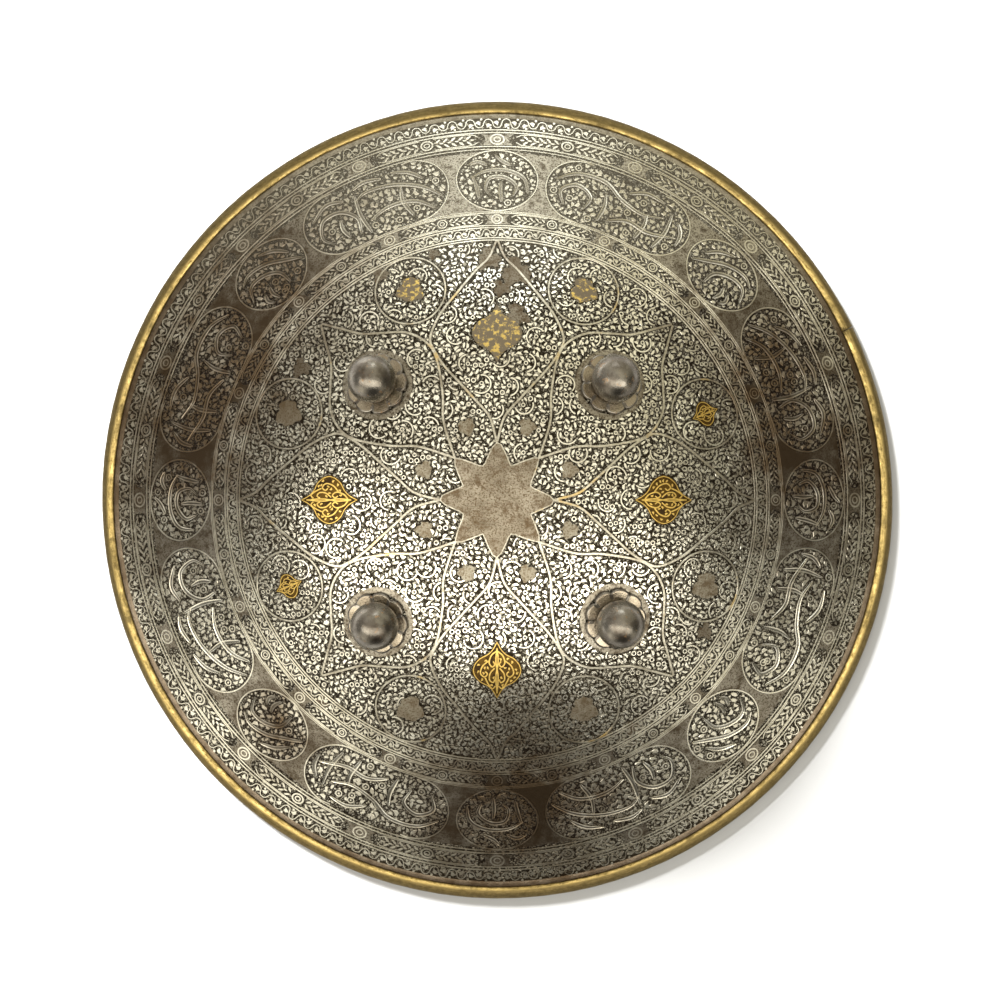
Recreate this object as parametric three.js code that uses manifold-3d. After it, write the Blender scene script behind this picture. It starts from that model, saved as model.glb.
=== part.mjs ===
// A round steel shield of the Persian and Indian kind, lying dome up on its rim.
// Millimetres, +Z up. The origin is on the surface it lies on, under the middle of the dome.
import * as THREE from "three";
import { mergeVertices } from "three/addons/utils/BufferGeometryUtils.js";
import Module from "manifold-3d";

// Driving dimensions.
const DIAMETER = 400; // over the brass binding, the mean of its long and short axes
const OUT_OF_ROUND = 0.0047; // the hand-raised dish is longer one way by this share each side
const LONG_AXIS_DEG = 104;
const PLATE_THICKNESS = 1.6;
const PLATE_EDGE_RADIUS = 197.2;
const PLATE_EDGE_HEIGHT = 3.15; // of its outer face
const GAP = 0.3; // kept between neighbouring pieces
const AROUND = 68; // facets round the dish and the binding

// The dish: its outer face starts level, steepens to a shoulder, then eases out to the edge.
const SHOULDER_SLOPE_DEG = 33;
const SHOULDER_AT = 0.72; // as a share of the edge radius
const EDGE_EASING_DEG = 13;
const EDGE_EASING_POWER = 2.5;
const PROFILE_STEPS = 12;

// The brass strip, a half round folded over the edge.
const BINDING_HALF_WIDTH = 4;
const BINDING_HALF_THICKNESS = 2.9;
const BINDING_LIP_BACK = 3.2; // from the middle of its section to the two lips
const BINDING_ARC_STEPS = 7;
const BUTT_SEAM_DEG = 26;
const BUTT_SEAM_WIDTH = 0.4;

// The bosses, the scalloped washers under them and what is behind the plate.
const BALL_RADIUS = 11;
const BALL_CENTRE_ABOVE_WASHER = 6.5;
const BALL_STEPS = 6;
const BALL_AROUND = 14;
const SHANK_RADIUS = 2.6;
const HOLE_RADIUS = SHANK_RADIUS + GAP;
const COLLAR_RADIUS = 5.5;
const COLLAR_THICKNESS = 1.6;
const EYE_HOLE_RADIUS = 3.3;
const EYE_WIRE_RADIUS = 1.7;
const RING_RADIUS = 12;
const RING_WIRE_RADIUS = 1.8;
const WASHER_RADIUS = 14.6;
const WASHER_LOBES = 9;
const POINTS_PER_LOBE = 4;
const LOBE_DEPTH = 0.11; // as a share of the washer's radius
const WASHER_THICKNESS = 1.2;
const WASHER_EDGE_BEVEL = 0.35;
const DOME_CURVATURE_RADIUS = 230; // of the plate around a boss, which the washers are dished to

// Where each boss stands, and how far its washer's hole is off its middle, away from the dome's.
const BOSSES = [
  { place: "upper_left", radius: 76.3, degrees: 136, offCentre: 0 },
  { place: "upper_right", radius: 74.3, degrees: 45.6, offCentre: 0 },
  { place: "lower_left", radius: 77, degrees: 225.8, offCentre: 1.6 },
  { place: "lower_right", radius: 76.8, degrees: 314.8, offCentre: 0 },
];

const steel = { color: 0x8d8a84, roughness: 0.42, metalness: 1 };
const brass = { color: 0xc9a24a, roughness: 0.35, metalness: 1 };
const iron = { color: 0x4a443e, roughness: 0.5, metalness: 1 };

const { degToRad } = THREE.MathUtils;
const wasm = await Module();
wasm.setup();

// A closed solid from a geometry, for cutting and joining, and back again.
function toSolid(geometry) {
  const bare = geometry.clone();
  bare.deleteAttribute("normal");
  bare.deleteAttribute("uv");
  const merged = mergeVertices(bare, 1e-3);
  const vertProperties = merged.attributes.position.array;
  const triVerts = new Uint32Array(merged.index.array);
  return new wasm.Manifold(new wasm.Mesh({ numProp: 3, vertProperties, triVerts }));
}

function toGeometry(solid) {
  const mesh = solid.getMesh();
  return new THREE.BufferGeometry()
    .setAttribute("position", new THREE.BufferAttribute(new Float32Array(mesh.vertProperties), 3))
    .setIndex(new THREE.BufferAttribute(mesh.triVerts, 1));
}

function namedMesh(name, geometry, finish) {
  const mesh = new THREE.Mesh(geometry, new THREE.MeshStandardMaterial(finish));
  mesh.name = name;
  return mesh;
}

// A closed outline of [radius, height] pairs turned about +Z.
function turned(outline, segments) {
  const points = outline.map(([radius, height]) => new THREE.Vector2(radius, height));
  return new THREE.LatheGeometry(points, segments).rotateX(Math.PI / 2);
}

// The plan is drawn out along one axis, as beating left it.
function drawnOut(geometry) {
  const at = geometry.attributes.position;
  for (let i = 0; i < at.count; i++) {
    const around = Math.atan2(at.getY(i), at.getX(i)) - degToRad(LONG_AXIS_DEG);
    const share = 1 + OUT_OF_ROUND * Math.cos(2 * around);
    at.setXY(i, at.getX(i) * share, at.getY(i) * share);
  }
  return geometry;
}

// The slope of the dish's outer face, in radians, at a plan radius.
function slopeAt(radius) {
  const share = Math.min(radius / PLATE_EDGE_RADIUS, 1);
  if (share < SHOULDER_AT) {
    return degToRad(SHOULDER_SLOPE_DEG) * (1 - Math.cos((Math.PI * share) / SHOULDER_AT)) / 2;
  }
  const past = (share - SHOULDER_AT) / (1 - SHOULDER_AT);
  return degToRad(SHOULDER_SLOPE_DEG - EDGE_EASING_DEG * past ** EDGE_EASING_POWER);
}

// The height of the outer face at a plan radius: the slope summed inward from the edge.
function heightAt(radius) {
  const steps = 400;
  const step = (PLATE_EDGE_RADIUS - radius) / steps;
  let height = PLATE_EDGE_HEIGHT;
  for (let i = 0; i < steps; i++) {
    height += Math.tan(slopeAt(radius + (i + 0.5) * step)) * step;
  }
  return height;
}

// The unit normal of the outer face, as [outward, up].
function normalAt(radius) {
  return [Math.sin(slopeAt(radius)), Math.cos(slopeAt(radius))];
}

function shieldPlate() {
  const radii = [];
  for (let i = 0; i <= PROFILE_STEPS; i++) {
    radii.push((PLATE_EDGE_RADIUS * i) / PROFILE_STEPS);
  }
  const outer = radii.map((radius) => [radius, heightAt(radius)]);
  const inner = outer.map(([radius, height]) => {
    const [out, up] = normalAt(radius);
    return [radius - PLATE_THICKNESS * out, height - PLATE_THICKNESS * up];
  });
  const outline = [...inner, ...outer.reverse()];
  return drawnOut(turned(outline, AROUND));
}

// The binding's section: an ellipse with its lips cut off square, and a slot that the plate's edge
// fills. It is filed flat where it meets the surface it lies on, and its ends meet at one butt seam.
function brassRim() {
  const slope = slopeAt(PLATE_EDGE_RADIUS);
  const halfSlot = PLATE_THICKNESS / 2 + GAP;
  const lip = BINDING_HALF_THICKNESS * Math.sqrt(1 - (BINDING_LIP_BACK / BINDING_HALF_WIDTH) ** 2);
  const mouth = Math.asin(lip / BINDING_HALF_THICKNESS);
  const middleOut = DIAMETER / 2 - BINDING_HALF_WIDTH * Math.cos(slope);
  const section = [];
  for (let i = 0; i <= BINDING_ARC_STEPS; i++) {
    const turn = -Math.PI + mouth + (2 * (Math.PI - mouth) * i) / BINDING_ARC_STEPS;
    section.push([BINDING_HALF_WIDTH * Math.cos(turn), BINDING_HALF_THICKNESS * Math.sin(turn)]);
  }
  const [edgeOut, edgeUp] = normalAt(PLATE_EDGE_RADIUS);
  const plateMiddle = [
    PLATE_EDGE_RADIUS - (edgeOut * PLATE_THICKNESS) / 2,
    PLATE_EDGE_HEIGHT - (edgeUp * PLATE_THICKNESS) / 2,
  ];
  // Along the section from its middle to the plate's edge, with the slot a gap deeper.
  const slotEnd = (plateMiddle[0] - middleOut) / Math.cos(slope) + GAP;
  section.push([-BINDING_LIP_BACK, halfSlot], [slotEnd, halfSlot]);
  section.push([slotEnd, -halfSlot], [-BINDING_LIP_BACK, -halfSlot]);
  const outline = section.map(([along, across]) => {
    const fromEdge = along - slotEnd + GAP;
    const radius = plateMiddle[0] + fromEdge * Math.cos(slope) + across * Math.sin(slope);
    const height = plateMiddle[1] - fromEdge * Math.sin(slope) + across * Math.cos(slope);
    return [radius, height];
  });
  outline.push(outline[0]);
  const seam = new THREE.BoxGeometry(4 * BINDING_HALF_WIDTH, BUTT_SEAM_WIDTH, DIAMETER / 10);
  seam.translate(DIAMETER / 2, 0, 0).rotateZ(degToRad(BUTT_SEAM_DEG));
  const filedOff = new THREE.BoxGeometry(2 * DIAMETER, 2 * DIAMETER, BINDING_HALF_WIDTH);
  filedOff.translate(0, 0, -BINDING_HALF_WIDTH / 2);
  const ring = toSolid(drawnOut(turned(outline, AROUND)));
  return toGeometry(ring.subtract(toSolid(seam)).subtract(toSolid(filedOff)));
}

// A frame standing on the outer face of the plate: +Z along its normal, +X as near to +X as it goes.
function seat({ radius, degrees }) {
  const group = new THREE.Group();
  const turn = degToRad(degrees);
  const [out, up] = normalAt(radius);
  const normal = new THREE.Vector3(out * Math.cos(turn), out * Math.sin(turn), up);
  const across = new THREE.Vector3(1, 0, 0).addScaledVector(normal, -normal.x).normalize();
  const along = normal.clone().cross(across);
  group.quaternion.setFromRotationMatrix(new THREE.Matrix4().makeBasis(across, along, normal));
  group.position.set(radius * Math.cos(turn), radius * Math.sin(turn), heightAt(radius));
  group.updateMatrixWorld();
  return group;
}

// Heights in a seat's frame, from the plate's outer face.
const WASHER_TOP = GAP + WASHER_THICKNESS + 2 * WASHER_EDGE_BEVEL;
const BALL_FOOT = WASHER_TOP + GAP;
const BALL_CENTRE = WASHER_TOP + BALL_CENTRE_ABOVE_WASHER;
const COLLAR_TOP = -PLATE_THICKNESS - 2 * GAP;
const COLLAR_FOOT = COLLAR_TOP - COLLAR_THICKNESS;
const EYE_CENTRE = COLLAR_FOOT - EYE_WIRE_RADIUS - EYE_HOLE_RADIUS;

// Ball, shank, collar and eye, forged in one.
function boss() {
  const footDrop = BALL_CENTRE - BALL_FOOT;
  const footAngle = Math.acos(footDrop / BALL_RADIUS);
  const outline = [];
  for (let i = 0; i <= BALL_STEPS; i++) {
    const turn = ((Math.PI - footAngle) * i) / BALL_STEPS;
    outline.push([BALL_RADIUS * Math.sin(turn), BALL_CENTRE + BALL_RADIUS * Math.cos(turn)]);
  }
  outline.push([SHANK_RADIUS, BALL_FOOT], [SHANK_RADIUS, COLLAR_TOP]);
  outline.push([COLLAR_RADIUS, COLLAR_TOP], [COLLAR_RADIUS, COLLAR_FOOT], [0, COLLAR_FOOT]);
  const headed = toSolid(turned(outline.reverse(), BALL_AROUND));
  const eye = new THREE.TorusGeometry(EYE_HOLE_RADIUS + EYE_WIRE_RADIUS, EYE_WIRE_RADIUS, 6, 12);
  eye.rotateX(Math.PI / 2).translate(0, 0, EYE_CENTRE + EYE_WIRE_RADIUS / 2);
  return toGeometry(headed.add(toSolid(eye)));
}

// A scalloped disc, its hole off its middle where it was drilled so, dished to the plate.
function washer({ degrees, offCentre }) {
  const turn = degToRad(degrees);
  const middle = [offCentre * Math.cos(turn), offCentre * Math.sin(turn)];
  const around = WASHER_LOBES * POINTS_PER_LOBE;
  const points = [];
  for (let i = 0; i < around; i++) {
    const angle = (2 * Math.PI * i) / around;
    const lobe = Math.abs(Math.cos((WASHER_LOBES * angle) / 2));
    const radius = WASHER_RADIUS * (1 - LOBE_DEPTH * (1 - Math.sqrt(lobe))) - WASHER_EDGE_BEVEL;
    points.push(new THREE.Vector2(
      middle[0] + radius * Math.cos(angle),
      middle[1] + radius * Math.sin(angle),
    ));
  }
  const outline = new THREE.Shape(points);
  outline.holes.push(new THREE.Path().absarc(0, 0, HOLE_RADIUS + WASHER_EDGE_BEVEL, 0, 2 * Math.PI));
  const geometry = new THREE.ExtrudeGeometry(outline, {
    depth: WASHER_THICKNESS,
    curveSegments: 4,
    bevelEnabled: true,
    bevelSegments: 1,
    bevelThickness: WASHER_EDGE_BEVEL,
    bevelSize: WASHER_EDGE_BEVEL,
  }).translate(0, 0, GAP + WASHER_EDGE_BEVEL);
  const at = geometry.attributes.position;
  for (let i = 0; i < at.count; i++) {
    const sag = (at.getX(i) ** 2 + at.getY(i) ** 2) / (2 * DOME_CURVATURE_RADIUS);
    at.setZ(i, at.getZ(i) - sag);
  }
  return geometry;
}

// A grip ring hanging plumb in its eye, its wire resting on the low side of the eye's hole.
function gripRing(stand) {
  const eyeCentre = stand.localToWorld(new THREE.Vector3(0, 0, EYE_CENTRE + EYE_WIRE_RADIUS / 2));
  const eyeAxis = new THREE.Vector3(0, 1, 0).applyQuaternion(stand.quaternion);
  const down = new THREE.Vector3(0, 0, -1);
  const low = down.clone().addScaledVector(eyeAxis, -down.dot(eyeAxis)).normalize();
  const wireTop = eyeCentre.addScaledVector(low, EYE_HOLE_RADIUS - RING_WIRE_RADIUS - GAP);
  const ring = new THREE.TorusGeometry(RING_RADIUS, RING_WIRE_RADIUS, 6, 18);
  // It turns about the plumb line until its wire runs through the eye along the eye's axis.
  ring.rotateX(Math.PI / 2).rotateZ(Math.atan2(eyeAxis.y, eyeAxis.x));
  return ring.translate(wireTop.x, wireTop.y, wireTop.z - RING_RADIUS);
}

const shield = new THREE.Group();
let plate = toSolid(shieldPlate());
for (const place of BOSSES) {
  const stand = seat(place);
  const drill = new THREE.CylinderGeometry(HOLE_RADIUS, HOLE_RADIUS, 8 * PLATE_THICKNESS, 14);
  drill.rotateX(Math.PI / 2).applyMatrix4(stand.matrixWorld);
  plate = plate.subtract(toSolid(drill));
  stand.add(namedMesh("boss_" + place.place, boss(), iron));
  stand.add(namedMesh("rosette_" + place.place, washer(place), iron));
  shield.add(stand);
  shield.add(namedMesh("ring_" + place.place, gripRing(stand), iron));
}
shield.add(namedMesh("shield_plate", toGeometry(plate), steel));
shield.add(namedMesh("brass_rim", brassRim(), brass));

export default shield;
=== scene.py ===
import math

import bmesh
import bpy
import numpy as np
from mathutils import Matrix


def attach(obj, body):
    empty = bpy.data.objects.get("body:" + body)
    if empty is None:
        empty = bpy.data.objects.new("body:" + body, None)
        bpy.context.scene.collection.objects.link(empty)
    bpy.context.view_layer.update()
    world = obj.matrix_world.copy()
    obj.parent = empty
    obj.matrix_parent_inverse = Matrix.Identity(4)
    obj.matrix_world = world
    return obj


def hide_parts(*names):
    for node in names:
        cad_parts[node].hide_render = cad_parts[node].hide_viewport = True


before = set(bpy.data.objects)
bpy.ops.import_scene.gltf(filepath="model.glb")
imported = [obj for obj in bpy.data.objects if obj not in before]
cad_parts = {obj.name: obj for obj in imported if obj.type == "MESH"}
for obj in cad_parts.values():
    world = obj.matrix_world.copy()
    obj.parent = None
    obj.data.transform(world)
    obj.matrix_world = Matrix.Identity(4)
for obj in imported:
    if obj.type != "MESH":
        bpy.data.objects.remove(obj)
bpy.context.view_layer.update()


# The view and the studio: straight down on the dome from arm's length, over a pale table.
# A broad soft light stands low on the near side, a cooler one on the far side, and a key
# light at the upper left throws the soft shadow to the lower right.

camera_height = 0.7495
camera_data = bpy.data.cameras.new("camera")
camera_data.sensor_width = 36.0
camera_data.lens = 53.35
camera = bpy.data.objects.new("camera", camera_data)
camera.location = (0.00137, 0.0, camera_height)
bpy.context.collection.objects.link(camera)
bpy.context.scene.camera = camera

scene = bpy.context.scene
scene.view_settings.view_transform = "Standard"
scene.view_settings.look = "None"


def soft_light(name, place, aim, size, watts, colour):
    """A rectangular area light at a place, turned to look at another."""
    data = bpy.data.lights.new(name, "AREA")
    data.shape = "RECTANGLE"
    data.size, data.size_y = size
    data.energy = watts
    data.color = colour
    light = bpy.data.objects.new(name, data)
    toward = np.array(aim) - np.array(place)
    light.location = place
    flat = math.hypot(toward[0], toward[1])
    light.rotation_euler = (math.atan2(flat, -toward[2]), 0, math.atan2(toward[1], toward[0]) - math.pi / 2)
    bpy.context.collection.objects.link(light)
    return light


soft_light("near_window", (-0.1, -0.5, 1.2), (-0.02, -0.03, 0.06), (2.9, 0.7), 27.0, (1.0, 0.97, 0.9))
soft_light("far_window", (0.02, 1.5, 0.7), (0.0, 0.1, 0.05), (0.7, 0.5), 5.0, (0.84, 0.92, 1.0))
# The lamp that throws the shadow lights the table only: the steel shows no glint of it.
shadow_lamp = soft_light(
    "shadow_lamp", (-1.67, 2.0, 1.38), (0.0, 0.0, 0.0), (0.6, 0.6), 900.0, (1.0, 1.0, 1.0))
shadow_lamp.visible_glossy = False
# Low as it stands, only the dish and its binding throw its shadow past the edge.
shadow_casters = bpy.data.collections.new("shadow_casters")
shadow_lamp.light_linking.blocker_collection = shadow_casters

world = bpy.data.worlds.new("studio")
scene.world = world
world.use_nodes = True
sky = world.node_tree
sky_shader = sky.nodes["Background"]
sky_shader.inputs["Strength"].default_value = 1.72


class Nodes:
    """Short hands for wiring one material or group: make a node, set its inputs, join it."""

    def __init__(self, tree):
        self.tree = tree

    def new(self, kind, ins=None, **settings):
        node = self.tree.nodes.new(kind)
        for key, value in settings.items():
            setattr(node, key, value)
        for key, value in (ins or {}).items():
            if isinstance(value, bpy.types.NodeSocket):
                self.tree.links.new(value, node.inputs[key])
            else:
                node.inputs[key].default_value = value
        return node

    def join(self, output, socket):
        self.tree.links.new(output, socket)

    def math(self, operation, a, b=0.0, clamp=False):
        return self.new("ShaderNodeMath", {0: a, 1: b}, operation=operation, use_clamp=clamp).outputs[0]

    def times(self, a, b, clamp=False):
        return self.math("MULTIPLY", a, b, clamp)

    def plus(self, a, b, clamp=False):
        return self.math("ADD", a, b, clamp)

    def noise(self, place, scale, detail=3.0, roughness=0.55):
        ins = {"Vector": place, "Scale": scale, "Detail": detail, "Roughness": roughness}
        return self.new("ShaderNodeTexNoise", ins).outputs["Fac"]

    def ramp(self, value, low, high):
        """A value spread so that low gives 0 and high gives 1."""
        return self.new("ShaderNodeMapRange", {"Value": value, "From Min": low, "From Max": high}).outputs[0]

    def mix(self, share, a, b):
        """One colour passing into another by a share."""
        return self.new("ShaderNodeMix", {0: share, 6: a, 7: b}, data_type="RGBA").outputs[2]


room = Nodes(sky)
# The room: even overhead, fair at the far side, dimmer left and right, fairly light at the two
# near corners, and dark in a wedge at the near side where whoever looks at the shield stands.
toward = room.new(
    "ShaderNodeSeparateXYZ", {0: room.new("ShaderNodeTexCoord").outputs["Generated"]})
right_ness, far_ness, up_ness = toward.outputs["X"], toward.outputs["Y"], toward.outputs["Z"]
level = room.math("SUBTRACT", 1.0, room.times(up_ness, up_ness))
level = room.math("SQRT", room.math("MAXIMUM", level, 1e-4))
far_bearing = room.math("DIVIDE", far_ness, level)
right_bearing = room.math("DIVIDE", right_ness, level)
corner_bearing, corner_spread = 0.71, 0.36
corners = room.math("ABSOLUTE", room.plus(far_bearing, corner_bearing))
corners = room.math("SUBTRACT", 1.0, room.math("DIVIDE", corners, corner_spread), True)
corner_light = room.math("SUBTRACT", 0.95, room.times(right_bearing, 0.22))
high_fade = room.math("SUBTRACT", 1.25, room.times(up_ness, 0.85))
corner_light = room.times(corner_light, high_fade)
nearness = room.times(far_bearing, 0.98)
nearness = room.math("SUBTRACT", room.times(right_bearing, 0.2), nearness)
wedge_from, wedge_spread = 0.8, 0.16
wedge = room.math("DIVIDE", room.math("SUBTRACT", nearness, wedge_from), wedge_spread, True)
everywhere, far_level, left_level, wedge_depth = 0.09, 0.58, 0.07, 0.9
far_light = room.times(room.math("MAXIMUM", far_bearing, 0.0), far_level)
low_light = room.plus(everywhere, far_light)
low_light = room.plus(low_light, room.times(corners, corner_light))
near_left = room.times(right_bearing, -1.0, True)
near_left = room.times(near_left, room.times(far_bearing, -4.0, True))
low_light = room.plus(low_light, room.times(near_left, left_level))
unshaded = room.math("SUBTRACT", 1.0, room.times(wedge, wedge_depth))
low_light = room.times(low_light, unshaded)
overhead_from, overhead_spread, overhead_level = 0.5, 0.38, 0.74
above = room.math("SUBTRACT", up_ness, overhead_from)
above = room.math("SUBTRACT", above, room.times(wedge, 0.2))
overhead = room.math("DIVIDE", above, overhead_spread, True)
low_light = room.times(low_light, room.math("SUBTRACT", 1.0, overhead))
light = room.plus(low_light, room.times(overhead, overhead_level))
warmth = room.plus(room.times(far_ness, 0.9), right_ness)
warmth = room.times(warmth, 1.0, True)
warmer = room.mix(warmth, (1.0, 0.96, 0.85, 1), (1.0, 0.94, 0.72, 1))
tint = room.new(
    "ShaderNodeMix", {0: 1.0, 6: light, 7: warmer}, data_type="RGBA", blend_type="MULTIPLY")
room.join(tint.outputs[2], sky_shader.inputs["Color"])

floor_mesh = bpy.data.meshes.new("table")
table_half = 3.0
floor_mesh.from_pydata(
    [(-table_half, -table_half, 0), (table_half, -table_half, 0),
     (table_half, table_half, 0), (-table_half, table_half, 0)],
    [], [(0, 1, 2, 3)])
floor = bpy.data.objects.new("table", floor_mesh)
bpy.context.collection.objects.link(floor)
pale = bpy.data.materials.new("pale_table")
pale.use_nodes = True
pale.node_tree.nodes["Principled BSDF"].inputs["Base Color"].default_value = (0.25, 0.25, 0.25, 1)
pale.node_tree.nodes["Principled BSDF"].inputs["Roughness"].default_value = 0.9
floor_mesh.materials.append(pale)


# The steel plate: one sheet beaten into a dish. Its outer face starts level at the crown,
# steepens to a shoulder and eases out to the edge. The chiseller has sunk the ground of the
# ornament below the old face, and left the face standing only in the plain band at the edge.

edge_radius, edge_height, plate_thickness = 197.2, 3.15, 1.6
shoulder_slope, shoulder_at = math.radians(33), 0.72
edge_easing, easing_power = math.radians(13), 2.5
out_of_round, long_axis = 0.0047, math.radians(104)
ground_depth = 0.22


def slope(radius):
    """A raised cosine up to the shoulder, then the shoulder's slope less a power of the way past it."""
    share = np.clip(radius / edge_radius, 0, 1)
    rising = shoulder_slope * (1 - np.cos(np.pi * share / shoulder_at)) / 2
    past = np.clip((share - shoulder_at) / (1 - shoulder_at), 0, 1)
    return np.where(share < shoulder_at, rising, shoulder_slope - edge_easing * past ** easing_power)


profile_radii = np.linspace(0, edge_radius, 3001)
profile_drops = np.tan(slope(profile_radii))
profile_falls = np.concatenate([[0], np.cumsum((profile_drops[1:] + profile_drops[:-1]) / 2)])
profile_falls *= profile_radii[1]
profile_heights = edge_height + profile_falls[-1] - profile_falls


def beaten(x, y):
    """The unevenness the hammer left: a few long waves across the plan, nothing at the edge."""
    wave = (np.sin(x / 11 + 0.6) * np.sin(y / 14 + 1.1) + 0.8 * np.sin((x + y) / 19 + 2.0)
            + 0.7 * np.sin((x - 0.6 * y) / 13 + 4.0))
    return 0.09 * wave * np.clip((edge_radius - np.hypot(x, y)) / 25, 0, 1)


def on_dish(x, y, lift=0.0):
    """Plan millimetres and a lift along the face's normal, as metres on the dish's outer face."""
    radius = np.hypot(x, y)
    lean = slope(radius)
    height = np.interp(radius, profile_radii, profile_heights) + beaten(x, y) + lift * np.cos(lean)
    around = np.arctan2(y, x)
    share = (1 + out_of_round * np.cos(2 * (around - long_axis)))
    share = share * (radius + lift * np.sin(lean)) / np.maximum(radius, 1e-6)
    return np.stack([x * share, y * share, height], -1) / 1000


def add_piece(name, points, faces, material, smooth=True):
    """A mesh object at the origin, from an array of points and an array of faces, on the root body."""
    mesh = bpy.data.meshes.new(name)
    mesh.from_pydata(points.reshape(-1, 3).tolist(), [], faces.tolist())
    mesh.polygons.foreach_set("use_smooth", np.full(len(faces), smooth))
    mesh.materials.append(material)
    mesh.update()
    piece = bpy.data.objects.new(name, mesh)
    bpy.context.collection.objects.link(piece)
    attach(piece, "root")
    return piece


def mark_stand(piece):
    """Stores how far up each point stands, 0 at the sunk ground and 1 at the old face."""
    mesh = piece.data
    at = np.empty(3 * len(mesh.vertices))
    mesh.vertices.foreach_get("co", at)
    x, y, z = at.reshape(-1, 3).T * 1000
    radius = np.hypot(x, y) / (1 + out_of_round * np.cos(2 * (np.arctan2(y, x) - long_axis)))
    lift = (z - beaten(x, y) - np.interp(radius, profile_radii, profile_heights)) * np.cos(slope(radius))
    stand = mesh.attributes.new("stand", "FLOAT", "POINT")
    stand.data.foreach_set("value", np.clip(1 + lift / ground_depth, 0, 1).astype(np.float32))


def weld(piece):
    """Joins the points of a mesh that lie on one another, as at the poles of a turned shape."""
    shape = bmesh.new()
    shape.from_mesh(piece.data)
    bmesh.ops.remove_doubles(shape, verts=shape.verts, dist=1e-7)
    shape.to_mesh(piece.data)
    shape.free()


def grid_faces(rows, columns, wrap_columns=False, wrap_rows=False):
    """The four-sided faces of a grid of points, row by row, closed round where asked."""
    row = np.arange(rows if wrap_rows else rows - 1)[:, None]
    column = np.arange(columns if wrap_columns else columns - 1)[None, :]
    next_row, next_column = (row + 1) % rows, (column + 1) % columns
    corners = [row * columns + column, row * columns + next_column,
               next_row * columns + next_column, next_row * columns + column]
    return np.stack([np.broadcast_to(c, (row.size, column.size)) for c in corners], -1).reshape(-1, 4)


def new_group(name, inputs, outputs):
    """An empty shader group with named sockets; gives the group, its wiring, and its inner ends."""
    group = bpy.data.node_groups.new(name, "ShaderNodeTree")
    for label, kind, value in inputs:
        socket = group.interface.new_socket(label, in_out="INPUT", socket_type=kind)
        socket.default_value = value
    for label, kind in outputs:
        group.interface.new_socket(label, in_out="OUTPUT", socket_type=kind)
    wiring = Nodes(group)
    return group, wiring, wiring.new("NodeGroupInput"), wiring.new("NodeGroupOutput")


# Where the steel is painted browner and darker: the left flank, the upper right, a broad drift along the
# lower edge that is painted shade as well as browning, and a smaller one round the lower border, in plan
# millimetres with a spread.
brown_and_shade_drifts = (
    ("left", -152, 40, 62), ("left_shoulder", -112, 66, 40), ("upper_left", -120, 100, 52),
    ("right", 158, 30, 62), ("upper_right", 130, 62, 46), ("bottom", 8, -150, 58),
    ("lower_left", -110, -112, 22), ("star", 2, -6, 22), ("top", 6, 100, 24))

patina_sheen_and_shade, w, ends, out = new_group(
    "patina_sheen_and_shade", [("Place", "NodeSocketVector", (0, 0, 0))],
    [("Brown_and_shade", "NodeSocketFloat"), ("Grime", "NodeSocketFloat"), ("Fine", "NodeSocketFloat"),
     ("Far_sheen", "NodeSocketFloat")])
place = ends.outputs["Place"]
drift = None
for label, x, y, spread in brown_and_shade_drifts:
    away = w.new("ShaderNodeVectorMath", {0: place, 1: (x / 1000, y / 1000, 0.03)}, operation="DISTANCE")
    near = w.ramp(away.outputs["Value"], spread * 1.6 / 1000, spread * 0.3 / 1000)
    drift = near if drift is None else w.math("MAXIMUM", drift, near)
blotches = w.noise(place, 26.0, 5.0, 0.62)
spots = w.noise(place, 120.0, 4.0, 0.6)
# The drift mask paints the steel darker as well as browner; along the lower edge that darkening is painted
# shade.
brown = w.plus(w.times(drift, 0.5), w.times(blotches, 0.65))
brown = w.plus(brown, w.times(spots, 0.45))
w.join(w.ramp(brown, 0.6, 1.08), out.inputs["Brown_and_shade"])
clouds = w.noise(place, 48.0, 4.0, 0.6)
grime = w.plus(w.times(spots, 0.55), w.times(clouds, 0.55))
w.join(w.ramp(grime, 0.4, 0.72), out.inputs["Grime"])
w.join(w.noise(place, 900.0, 2.0, 0.7), out.inputs["Fine"])
# Painted sheen: on the far border the ground is painted lighter and the tops duller, in place of the far
# light's sheen.
far_side = w.new("ShaderNodeSeparateXYZ", {0: place}).outputs["Y"]
wear_and_sheen = w.ramp(w.plus(far_side, w.times(blotches, 0.03)), 0.11, 0.16)
w.join(wear_and_sheen, out.inputs["Far_sheen"])


def start_material(name):
    """A new material, its wiring, its shader, and the place on the piece that it is painted by."""
    material = bpy.data.materials.new(name)
    material.use_nodes = True
    w = Nodes(material.node_tree)
    shader = material.node_tree.nodes["Principled BSDF"]
    return material, w, shader, w.new("ShaderNodeTexCoord").outputs["Object"]


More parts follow.
